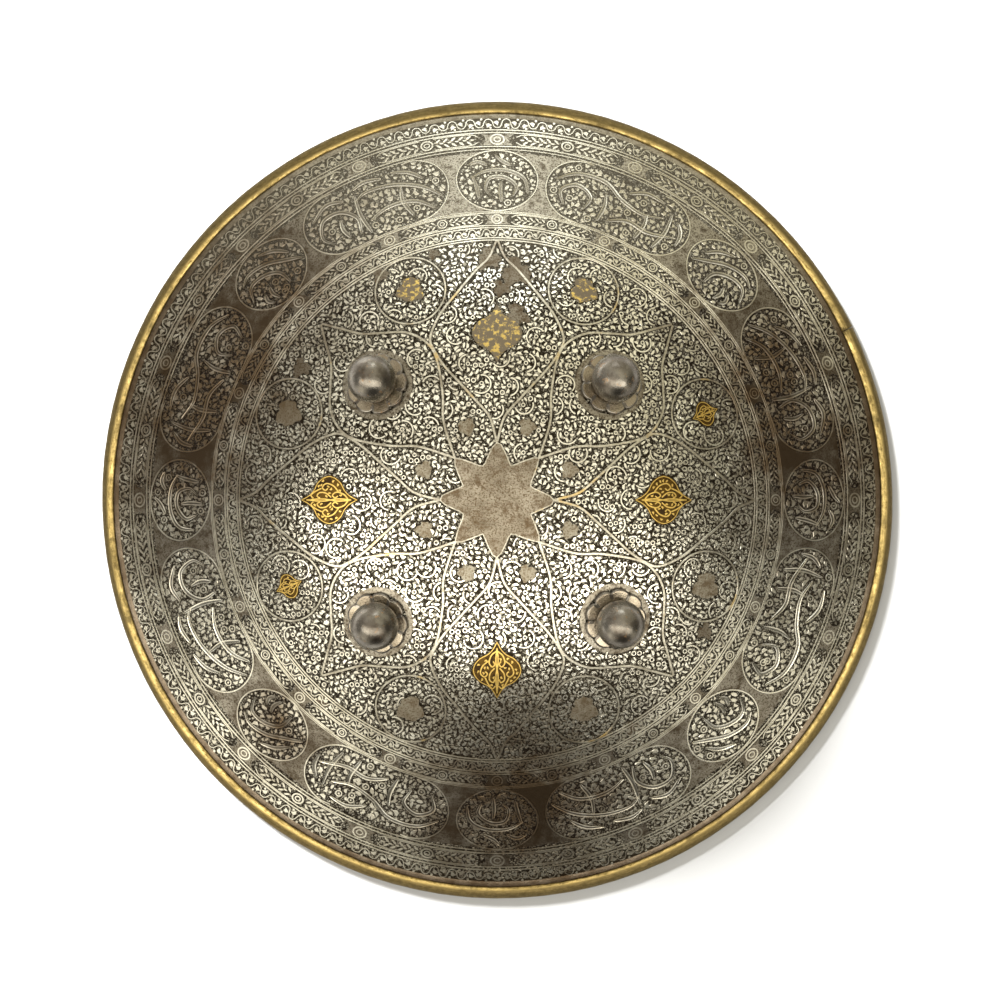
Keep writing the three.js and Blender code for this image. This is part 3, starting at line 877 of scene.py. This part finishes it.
def leaf_ring(count, out_by, lean, length, width):
    """A ring of leaves round every flower, each leaning from the straight-out line with its swirl."""
    turn = np.arange(count) * 2 * np.pi / count + rng.uniform(0, 6.28, flower_x.size)[:, None]
    x = flower_x[:, None] + out_by * np.cos(turn)
    y = flower_y[:, None] + out_by * np.sin(turn)
    lie = turn + lean * swirl[:, None] + rng.normal(0, 0.12, turn.shape)
    return leaves(x.ravel(), y.ravel(), lie.ravel(), length, width, where=fields)


def loose_leaves(tries, low, high, lean, length, width, where, gap=0.14):
    """Leaves dropped at random between two radii, each lying round its nearest flower."""
    radius = np.sqrt(rng.uniform(low ** 2, high ** 2, tries))
    turn = rng.uniform(0, 2 * np.pi, tries)
    x, y = radius * np.cos(turn), radius * np.sin(turn)
    lie = np.empty(tries)
    for part in np.array_split(np.arange(tries), max(1, tries // 4000)):
        dx, dy = x[part, None] - flower_x, y[part, None] - flower_y
        nearest = np.argmin(dx ** 2 + dy ** 2, 1)
        here = np.arange(part.size)
        lie[part] = np.arctan2(dy[here, nearest], dx[here, nearest]) + lean * swirl[nearest]
    lie += rng.normal(0, 0.35, tries)
    size = rng.uniform(0.85, 1.15, tries)
    return leaves(x, y, lie, length * size, width * size, gap, where)


field_leaves = [leaf_ring(6, 2.8, 0.35, 3.1, 1.35), leaf_ring(9, 5.7, 0.9, 3.7, 1.4)]
field_leaves.append(loose_leaves(36000, 0, field_edge, 1.0, 3.4, 1.3, fields, 0.12))
field_leaves.append(loose_leaves(36000, 0, field_edge, 0.5, 2.2, 1.15, fields, 0.12))
small_fill = loose_leaves(40000, 0, field_edge, 0.2, 1.3, 0.85, fields, 0.1)
field_of_leaves = relief_piece("field_leaves", field_leaves, bright_steel)
field_seeds = relief_piece("field_seeds", [small_fill] + field_rings + stems, bright_steel)


# The border. Double lines part five bands: a wide band of roundels and long panels filled with
# sweeping strokes on a ground of leaves, a narrow band of small panels each side of it, and a
# running vine on the inmost and the outmost. Between the panels the old face is left smooth.

def polar(radius, turn):
    """Plan points at a radius and an angle."""
    return np.stack(np.broadcast_arrays(radius * np.cos(turn), radius * np.sin(turn)), -1)


def ring_line(radius, width, top=0.0):
    """A thin raised line all the way round."""
    turn = np.linspace(0, 2 * np.pi, int(2 * np.pi * radius / 3.2), endpoint=False)
    return ridge(polar(radius, turn), width, top, closed=True, side=0.12)


lines = [ring_line(radius, width) for radius, width in (
    (122.9, 0.5), (124.15, 0.5), (129.45, 0.5), (130.65, 0.45), (137.5, 0.5), (138.3, 0.3),
    (173.2, 0.35), (174.9, 0.55), (182.7, 0.5), (184.3, 0.5))]
border_lines = relief_piece("border_lines", lines, border_steel)


def vine(radius, swing, waves, leaf_length, leaf_width):
    """A stem that waves round the ring with a leaf and a bud in every bend."""
    per_wave = 12
    turn = np.linspace(0, 2 * np.pi, waves * per_wave, endpoint=False)
    unsteady = 1 + 0.12 * np.sin(turn * 17) + 0.08 * np.sin(turn * 41 + 2)
    lean = turn - 0.3 / waves * np.sin(2 * waves * turn)
    stem = ridge(polar(radius + swing * unsteady * np.sin(waves * turn), lean), 0.42, closed=True, side=0.1)
    bend = (np.arange(2 * waves) + 0.5) * np.pi / waves
    side = np.where(np.arange(2 * waves) % 2, 1.0, -1.0)
    jitter = rng.uniform(-0.15, 0.15, bend.size)
    spot = polar(radius + side * swing * 0.3, bend + 0.1 / waves)
    lie = bend + np.pi / 2 - side * 0.6 + jitter
    big = standing(leaf_kinds[1], *spot.T, lie, leaf_length, leaf_width, -0.01)
    spot = polar(radius + side * swing * 1.05, bend - 0.75 / waves)
    lie = bend + np.pi / 2 + side * 0.5
    small = standing(leaf_kinds[0], *spot.T, lie, leaf_length * 0.45, leaf_width * 0.7, -0.03)
    return [stem, big, small]


vines = vine(126.8, 1.75, 118, 3.3, 1.7) + vine(188.0, 2.3, 131, 3.7, 2.1)
border_vines = relief_piece("border_vines", vines, border_steel)


def small_panels(middle, half_high, scale):
    """Sixteen panels of leaf fans either side of a ringed bud, and a ringed boss between each two."""
    plates, shapes = [], []
    # A fan's three leaves: lean, how far on it starts, length, width.
    fan = ((0.6, 0.0, 3.9, 1.35), (-0.6, 0.0, 3.9, 1.35), (0.0, 1.7, 2.8, 1.1))
    for k in range(16):
        between = math.radians(22.5 * k)
        rows = np.linspace(-0.93, 0.93, 9)
        reach = scale * (5.9 + 3.6 * (1 - np.sqrt(1 - rows ** 2))) / middle
        left, right = (polar(middle + half_high * rows, between + sign * reach) for sign in (1, -1))
        plates.append(band(right, left, -0.05, columns=4, side=0.1))
        for offset, big in ((0.0, 1.0), (math.radians(11.25), 0.86)):
            turn = np.linspace(0, 2 * np.pi, 20, endpoint=False)
            for share, width in ((0.86, 0.75 * scale), (0.4, 0.55 * scale)):
                loop = polar(middle + big * share * half_high * np.sin(turn),
                             between + offset - big * share * 3.9 * scale * np.cos(turn) / middle)
                shapes.append(ridge(loop, width, 0.03, closed=True, side=0.1))
        for side in (-1, 1):
            start = between + math.radians(11.25)
            for root_at in (5.8, 9.6, 13.4, 17.2, 21.0):
                for lean, out, length, wide in fan:
                    turn = start + side * scale * (root_at + out) / middle
                    spot = polar(np.array([middle + 0.46 * np.sign(lean) * half_high]), turn)
                    lie = turn + side * (math.pi / 2 - lean)
                    shapes.append(standing(leaf_kinds[0], *spot.T, lie, scale * length, scale * wide, -0.01))
            ends = scale * np.array([3.5, 8.0, 12.0, 16.0, 20.0, 23.4, 25.6])
            high = 0.97 * half_high * np.array([1, 1, 1, 1, 1, 0.86, 0.45])
            for sign in (-1, 1):
                edge = polar(middle + sign * high, start + side * ends / middle)
                shapes.append(ridge(edge, 0.42, side=0.1))
    return plates, shapes


inner_plates, inner_shapes = small_panels(134.05, 2.85, 0.76)
outer_plates, outer_shapes = small_panels(178.85, 3.3, 1.0)
small_panel_work = relief_piece("small_panels", inner_shapes + outer_shapes, border_steel)


# The wide band's roundels and long panels, drawn flat as millimetres along and out, then bent
# round. Their sweeping strokes are pattern only: hooks, bows and bars that spell nothing.
wide_middle, panel_high = 155.65, 16.9
roundel_half, long_half = 19.8, 37.2


def on_band(flat, degrees, mirrored=False):
    """A path drawn flat, laid on the wide band about an angle."""
    along = flat[:, 0] * (-1 if mirrored else 1)
    return polar(wide_middle + flat[:, 1], math.radians(degrees) - along / wide_middle)


def panel_edge(half_wide, grown=0.0, steps=96):
    """A roundel's oval, or a long panel with half-round ends, drawn flat."""
    turn = np.linspace(0, 2 * np.pi, steps, endpoint=False)
    straight = half_wide - panel_high if half_wide > 30 else 0.0
    round_half = half_wide - straight
    x = np.sign(np.cos(turn)) * straight + (round_half + grown) * np.cos(turn)
    return np.stack([-x, (panel_high + grown) * np.sin(turn)], -1)


def taper(count, widest, tail=0.25):
    """A stroke's width from end to end: thin, quickly full, and thin again."""
    share = np.linspace(0, 1, count)
    return widest * (tail + (1 - tail) * np.sin(np.pi * share ** 0.8) ** 0.6)


roundel_strokes = (
    [[(-15.5, -7), (-13, 1.5), (-5, 5.6), (5, 5.4), (12.5, 1.6)],
     [(-8, -9), (-9.4, -3), (-3.5, 1.8), (3.5, 1.2), (5.8, -5), (2.8, -9.2)],
     [(-2.2, -12.5), (-1.6, -6), (-2.0, -0.5)], [(9.2, -10.5), (10.4, -3), (12.0, 3.0)],
     [(-6.5, 8.5), (-1.5, 11.5), (1.2, 14.6)], [(4.5, 8.4), (9, 10.8), (13.2, 9.4)]],
    [[(-17, -4.5), (-9.5, 0.5), (-1, 6.4), (8, 9.0), (13.8, 6.8)],
     [(-4.5, -10.5), (-3.2, -2.5), (3.8, 2.6), (11.5, 3.2), (16, -3.2)],
     [(5.0, -4), (6.4, -8), (5.2, -12.6)], [(-13.5, 2.5), (-8.5, 8.5), (-1.5, 12.6)],
     [(9.5, -5.5), (11, -9), (9.2, -12)]])
long_strokes = (
    [[(-34, -6.5), (-24, 1.5), (-11, 6.8), (2, 8.2), (8.5, 5)],
     [(-29, -12), (-19, -5.5), (-6, -4.2), (5, -7.5)],
     [(-17, -13.5), (-13.6, -4), (-14.8, 5.5)], [(6.8, -14), (8.4, -3), (7.2, 9.5)],
     [(12, -12), (10.6, -3), (17, 4.4), (26, 4.6), (30.5, -3.4), (27, -9.4)],
     [(18, -11), (19.5, -5), (18.4, 0.6)], [(13, 9.0), (21, 11.6), (30, 7.2)],
     [(-7, 12.2), (1, 14.0), (7, 12.4)], [(-26, 5.5), (-20, 10.8), (-12, 13.6)]],
    [[(-33, 4.0), (-23, 9.6), (-10, 9.4), (0, 3.4), (12, 0.8), (22, 4.6)],
     [(-27, -9.5), (-29.5, -1.5), (-22, 3.2), (-14.5, -1.5), (-16.5, -9.5)],
     [(-8, -13), (-6.6, -4), (-8, 3.4)], [(-3.5, -11), (7, -6.4), (19, -6.8), (32, -1.4)],
     [(24, -13), (26, -2), (24.6, 9.6)], [(2, 8.0), (10, 12.6), (19, 12.4)],
     [(13.6, -13.6), (15.2, -4.5), (14.0, 2.4)], [(29, 7.2), (33, 2), (34, -5)]])

stroke_section = (0.04, -0.15, -0.15, 0.04)  # two edges with a groove between them
panel_frames, spandrels, strokes = [], [], []
panels = np.zeros_like(taken)
for k in range(16):
    degrees = 22.5 * k
    half_wide = long_half if k % 2 else roundel_half
    steps = 120 if k % 2 else 80
    edge = on_band(panel_edge(half_wide, steps=steps), degrees)
    panel_frames.append(ridge(edge, 0.6, 0.03, closed=True, side=0.12))
    panels |= inside(on_band(panel_edge(half_wide, -0.75, steps=steps), degrees))
    # The smooth plate between this panel and the next, narrow at its waist.
    rows = np.sin(np.linspace(-1, 1, 25) * np.pi / 2) * 0.985
    swell = np.sqrt(1 - rows ** 2)
    next_half = roundel_half if k % 2 else long_half
    this_reach = half_wide - panel_high + panel_high * swell if k % 2 else half_wide * swell
    next_reach = next_half * swell if k % 2 else next_half - panel_high + panel_high * swell
    here, there = math.radians(degrees), math.radians(degrees + 22.5)
    low_edge = polar(wide_middle + panel_high * rows, here + (this_reach + 0.6) / wide_middle)
    high_edge = polar(wide_middle + panel_high * rows, there - (next_reach + 0.6) / wide_middle)
    spandrels.append(band(low_edge, high_edge, -0.03, columns=10, side=0.1))
    kinds = long_strokes if k % 2 else roundel_strokes
    for stroke in kinds[(k // 2) % 2]:
        flat = smooth_path(stroke, 1.1)
        path = on_band(flat, degrees, mirrored=bool((k // 4) % 2))
        width = taper(len(path), 1.9)
        strokes.append(ridge(
            path, width, stroke_section, columns=2, side=0.14, shares=(0, 0.36, 0.64, 1)))
        take_line(path, 1.1)

plates = [(points, faces[:, ::-1]) for points, faces in spandrels + inner_plates + outer_plates]
smooth_plates = relief_piece("smooth_plates", plates, smooth_face)
panel_strokes = relief_piece("panel_frames_and_strokes", panel_frames + strokes, border_steel)

# Small ringed buds and leaves pack the ground between the strokes.
ring_tries = 2600
ring_x, ring_y = rng.uniform(-173, 173, (2, ring_tries))
ringed = room_for(ring_x, ring_y, 0.0, 4.4, 4.4, where=panels)
band_rings = []
for x, y in zip(ring_x[ringed], ring_y[ringed]):
    band_rings.append(ridge(circle(1.55, x, y, 12), 0.5, closed=True, side=0.12))
    seed_turn = rng.uniform(0, 6.28)
    band_rings.append(standing(leaf_kinds[0], np.array([x]), np.array([y]), seed_turn, 1.3, 1.1, 0.0))


def panel_leaves(tries, length, width, gap):
    """Leaves dropped at random on the wide band, lying every way."""
    radius, turn = rng.uniform(138.5, 173, tries), rng.uniform(0, 2 * np.pi, tries)
    size = rng.uniform(0.8, 1.2, tries)
    spot = polar(radius, turn)
    return leaves(*spot.T, rng.uniform(0, 6.28, tries), length * size, width * size, gap, panels)


band_leaves = [
    panel_leaves(30000, length, width, gap)
    for length, width, gap in ((3.8, 1.9, 0.16), (2.5, 1.4, 0.12), (1.4, 0.95, 0.1))]
wide_band_leaves = relief_piece("wide_band_leaves", band_leaves + band_rings, border_steel)


# The brass binding: a strip rolled to a half round and hammered down over the plate's edge, its two ends
# butted at one seam. Its inner lip wanders a little, its top stays bright while its outer side is painted
# darker as shade, and it is filed flat underneath.

brass, w, shader, place = start_material("hammered_brass")
mottle = w.noise(place, 70.0, 5.0, 0.65)
wear_and_sheen = w.ramp(w.noise(place, 520.0, 4.0, 0.7), 0.38, 0.64)
tarnish_and_outer_shade = w.ramp(mottle, 0.38, 0.66)
flat = w.new("ShaderNodeVectorMath", {0: place, 1: (1, 1, 0)}, operation="MULTIPLY").outputs["Vector"]
out_by = w.new("ShaderNodeVectorMath", {0: flat}, operation="LENGTH").outputs["Value"]
# Streaks run along the strip: a noise drawn out six millimetres round for each one across.
sides = w.new("ShaderNodeSeparateXYZ", {0: place}).outputs
bearing = w.math("ARCTAN2", sides["Y"], sides["X"])
drawn_out = w.new(
    "ShaderNodeCombineXYZ", {0: w.times(bearing, 33.0), 1: w.times(out_by, 1100.0)})
streaks = w.ramp(w.noise(drawn_out.outputs[0], 1.0, 4.0, 0.65), 0.4, 0.6)
wear_and_sheen = w.times(w.plus(wear_and_sheen, streaks), 0.5)
colour = w.mix(wear_and_sheen, (0.2, 0.135, 0.038, 1), (0.88, 0.66, 0.26, 1))
unsteady = w.times(w.plus(mottle, wear_and_sheen), 0.0011)
# Painted shade: the outer side of the strip is painted darker, mixed in with the tarnish.
outer = w.ramp(w.plus(out_by, unsteady), 0.1956, 0.1976)
tarnish_and_outer_shade = w.math("MAXIMUM", tarnish_and_outer_shade, w.times(outer, 1.1))
colour = w.mix(w.times(tarnish_and_outer_shade, 0.8), colour, (0.085, 0.062, 0.026, 1))
w.join(colour, shader.inputs["Base Color"])
rough = w.plus(w.times(tarnish_and_outer_shade, 0.2), 0.36)
w.join(rough, shader.inputs["Roughness"])
shader.inputs["Metallic"].default_value = 1.0
hammer = w.new("ShaderNodeTexVoronoi", {"Vector": place, "Scale": 330.0}, feature="SMOOTH_F1")
dents = w.times(hammer.outputs["Distance"], 0.8)
height = w.plus(dents, w.times(w.noise(place, 1300.0, 3.0), 0.5))
beat = w.new("ShaderNodeBump", {"Strength": 0.8, "Distance": 0.0004, "Height": height})
w.join(beat.outputs["Normal"], shader.inputs["Normal"])

half_wide, half_thick, lip_back = 4.0, 2.9, 3.2
lip_gap = 0.3
edge_slope = float(slope(edge_radius))
edge_out, edge_up = math.sin(edge_slope), math.cos(edge_slope)
sheet_out = edge_radius - edge_out * plate_thickness / 2
sheet_up = edge_height - edge_up * plate_thickness / 2
slot_end = (sheet_out - (200 - half_wide * edge_up)) / edge_up + lip_gap
half_slot = plate_thickness / 2 + lip_gap
seam_turn, seam_wide = math.radians(26), 0.4
binding_steps = 420
seam_share = seam_wide / 400
turn = np.linspace(seam_turn + seam_share, seam_turn + 2 * np.pi - seam_share, binding_steps)[:, None]
mouth = math.asin(math.sqrt(1 - (lip_back / half_wide) ** 2))
arc = -np.pi + mouth + 2 * (np.pi - mouth) * np.linspace(0, 1, 27)
wander = 1 + 0.035 * np.sin(9 * turn) + 0.03 * np.sin(23 * turn + 1) + 0.02 * np.sin(51 * turn + 2)
inward = np.clip(-np.cos(arc), 0, 1)
flats = 1 + 0.018 * np.sin(61 * turn + 3 * arc) * np.sin(37 * turn) - 0.022
along = half_wide * np.cos(arc) * (1 + (wander - 1) * inward) * np.where(inward > 0, 1, flats)
across = half_thick * np.sin(arc) * flats
tail_along = np.array([-lip_back, slot_end, slot_end, -lip_back])
tail_across = np.array([half_slot, half_slot, -half_slot, -half_slot])
along = np.concatenate([along, np.broadcast_to(tail_along, (binding_steps, 4))], 1)
across = np.concatenate([across, np.broadcast_to(tail_across, (binding_steps, 4))], 1)
from_edge = along - slot_end + lip_gap
radius = sheet_out + from_edge * edge_up + across * edge_out
height = np.maximum(sheet_up - from_edge * edge_out + across * edge_up, 0.0)
share = 1 + out_of_round * np.cos(2 * (turn - long_axis))
binding_points = np.stack([radius * np.cos(turn) * share, radius * np.sin(turn) * share, height], -1) / 1000
section = binding_points.shape[1]
binding_faces = grid_faces(binding_steps, section, wrap_columns=True)
binding = add_piece("brass_binding", binding_points, binding_faces, brass)
# Each end of the strip is closed with one face.
shape = bmesh.new()
shape.from_mesh(binding.data)
bmesh.ops.holes_fill(shape, edges=[edge for edge in shape.edges if edge.is_boundary])
bmesh.ops.recalc_face_normals(shape, faces=shape.faces)
shape.to_mesh(binding.data)
shape.free()
shadow_casters.objects.link(binding)
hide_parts("brass_rim")


# The bosses: an iron ball with its shank, collar and grip eye forged in one, on a washer cut to
# nine lobes. The shank goes through the plate; behind it hangs a plain ring in each eye.

iron, w, shader, place = start_material("dark_iron")
cloud = w.ramp(w.noise(place, 130.0, 5.0, 0.6), 0.35, 0.7)
rust = w.ramp(w.noise(place, 420.0, 4.0, 0.65), 0.6, 0.72)
colour = w.mix(cloud, (0.19, 0.172, 0.142, 1), (0.045, 0.034, 0.024, 1))
colour = w.mix(w.times(rust, 0.6), colour, (0.3, 0.16, 0.06, 1))
w.join(colour, shader.inputs["Base Color"])
rough = w.plus(w.times(cloud, 0.14), 0.2)
w.join(w.plus(rough, w.times(rust, 0.2)), shader.inputs["Roughness"])
shader.inputs["Metallic"].default_value = 0.95
pits = w.noise(place, 900.0, 4.0, 0.65)
pits = w.new("ShaderNodeBump", {"Strength": 0.35, "Distance": 0.0002, "Height": pits})
w.join(pits.outputs["Normal"], shader.inputs["Normal"])

washer_iron = steel_material(
    "washer_iron", (0.36, 0.31, 0.235, 1), (0.2, 0.16, 0.11, 1), (0.2, 0.12, 0.045, 1), 0.28, 1.0, 0.6, 1300)

gap = 0.3
washer_thick, washer_bevel, washer_radius = 1.2, 0.35, 14.6
washer_top = gap + washer_thick + 2 * washer_bevel
ball_radius, ball_foot, ball_centre = 10.96, washer_top + gap, washer_top + 6.5
shank_radius, collar_radius = 2.6, 5.5
collar_top = -plate_thickness - 2 * gap
collar_foot = collar_top - 1.6
eye_hole, eye_wire = 3.3, 1.7
eye_centre = collar_foot - eye_wire - eye_hole + eye_wire / 2
ring_radius, ring_wire = 12.0, 1.8
dome_curvature = 230.0


def seat(radius, degrees):
    """Where a boss stands on the outer face, in millimetres, and its three axes: across, along, normal."""
    turn = math.radians(degrees)
    lean = float(slope(radius))
    normal = np.array([math.sin(lean) * math.cos(turn), math.sin(lean) * math.sin(turn), math.cos(lean)])
    across = np.array([1.0, 0, 0]) - normal * normal[0]
    across /= np.linalg.norm(across)
    height = float(np.interp(radius, profile_radii, profile_heights))
    origin = np.array([radius * math.cos(turn), radius * math.sin(turn), height])
    return origin, np.stack([across, np.cross(normal, across), normal])


def turned_shape(outline, steps):
    """A closed outline of (radius, height), lowest point first, turned about the upright axis."""
    outline = np.asarray(outline)
    turn = np.linspace(0, 2 * np.pi, steps, endpoint=False)
    points = np.stack([outline[:, :1] * np.cos(turn), outline[:, :1] * np.sin(turn),
                       np.broadcast_to(outline[:, 1:], (len(outline), steps))], -1)
    return points.reshape(-1, 3), grid_faces(len(outline), steps, wrap_columns=True)


def torus(radius, wire, steps, wire_steps):
    """A round ring about the upright axis."""
    turn = np.linspace(0, 2 * np.pi, steps, endpoint=False)[:, None]
    girth = np.linspace(0, 2 * np.pi, wire_steps, endpoint=False)[None]
    out_by = radius + wire * np.cos(girth)
    points = np.stack([out_by * np.cos(turn), out_by * np.sin(turn), wire * np.sin(girth) + 0 * turn], -1)
    return points.reshape(-1, 3), grid_faces(steps, wire_steps, wrap_columns=True, wrap_rows=True)[:, ::-1]


foot_angle = math.acos((ball_centre - ball_foot) / ball_radius)
rise = np.linspace(math.pi - foot_angle, 0, 30)
ball_outline = [(0, collar_foot), (collar_radius - 0.3, collar_foot), (collar_radius, collar_foot + 0.3),
                (collar_radius, collar_top - 0.3), (collar_radius - 0.3, collar_top),
                (shank_radius, collar_top), (shank_radius, ball_foot),
                (ball_radius * math.sin(rise[0]) - 0.3, ball_foot)]
ball_outline += [(ball_radius * math.sin(a), ball_centre + ball_radius * math.cos(a)) for a in rise]

washer_shares = np.array([0.0, 0.12, 0.3, 0.5, 0.7, 0.86, 0.93, 0.97, 1.0])
washer_lifts = np.array([-0.15, 0.0, 0.0, -0.08, -0.12, -0.05, 0.05, 0.0, -0.3])
lobe_turn = np.linspace(0, 2 * np.pi, 9 * 14, endpoint=False)
lobe = np.sqrt(np.abs(np.cos(4.5 * lobe_turn)))
lobe_reach = washer_radius * (1 - 0.13 * (1 - lobe))
for place_name, out_by, degrees, off in bosses:
    origin, axes = seat(out_by, degrees)

    points, faces = turned_shape(ball_outline, 56)
    eye_points, eye_faces = torus(eye_hole + eye_wire, eye_wire, 36, 14)
    eye_points = np.stack([eye_points[:, 0], eye_points[:, 2], eye_points[:, 1] + eye_centre], -1)
    points, faces = joined([(points, faces), (eye_points, eye_faces[:, ::-1])])
    ball = add_piece("ball_" + place_name, (origin + points @ axes) / 1000, faces, iron)
    weld(ball)
    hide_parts("boss_" + place_name)

    away = math.radians(degrees)
    middle = off * np.array([math.cos(away), math.sin(away)])
    hole = shank_radius + gap
    edge = middle + lobe_reach[:, None] * np.stack([np.cos(lobe_turn), np.sin(lobe_turn)], -1)
    hole_edge = hole * np.stack([np.cos(lobe_turn), np.sin(lobe_turn)], -1)
    flat = hole_edge + (edge - hole_edge) * washer_shares[:, None, None]
    creases = 0.45 * (1 - lobe) * np.clip(washer_shares * 2 - 0.6, 0, 1)[:, None]
    upper = washer_top + washer_lifts[:, None] - creases
    flat = np.concatenate([flat, flat[[-1, -1, 0, 0]]])
    lower = np.array([gap + 0.35, gap, gap, gap + 0.35])
    lift = np.concatenate([upper, np.broadcast_to(lower[:, None], (4, lobe_turn.size))])
    flat[-3:-1] = hole_edge + (flat[-3:-1] - hole_edge) * 0.98
    sag = (flat ** 2).sum(-1) / (2 * dome_curvature)
    points = np.concatenate([flat, (lift - sag)[..., None]], -1).reshape(-1, 3)
    faces = grid_faces(flat.shape[0], lobe_turn.size, wrap_columns=True, wrap_rows=True)[:, ::-1]
    washer = add_piece("washer_" + place_name, (origin + points @ axes) / 1000, faces, washer_iron)
    # Painted shade: the filed edge and the cuts between the lobes take the dark iron, as the shade under the
    # washer's edge and in the cuts.
    washer.data.materials.append(iron)
    shaded_rows = np.zeros((flat.shape[0], lobe_turn.size), bool)
    shaded_rows[6:] = True
    shaded_rows[4:6] = lobe < 0.6
    washer.data.polygons.foreach_set("material_index", shaded_rows.ravel().astype(np.int32))
    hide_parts("rosette_" + place_name)

    eye_at = origin + axes[2] * eye_centre
    low = np.array([0, 0, -1.0]) + axes[1] * axes[1][2]
    low /= np.linalg.norm(low)
    wire_top = eye_at + low * (eye_hole - ring_wire - gap)
    points, faces = torus(ring_radius, ring_wire, 64, 18)
    spin = math.atan2(axes[1][1], axes[1][0])
    upright = np.stack([points[:, 0] * math.cos(spin), points[:, 0] * math.sin(spin), points[:, 1]], -1)
    upright += points[:, 2:] * np.array([math.sin(spin), -math.cos(spin), 0])
    upright += wire_top - (0, 0, ring_radius)
    grip = add_piece("grip_ring_" + place_name, upright / 1000, faces, iron)
    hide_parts("ring_" + place_name)
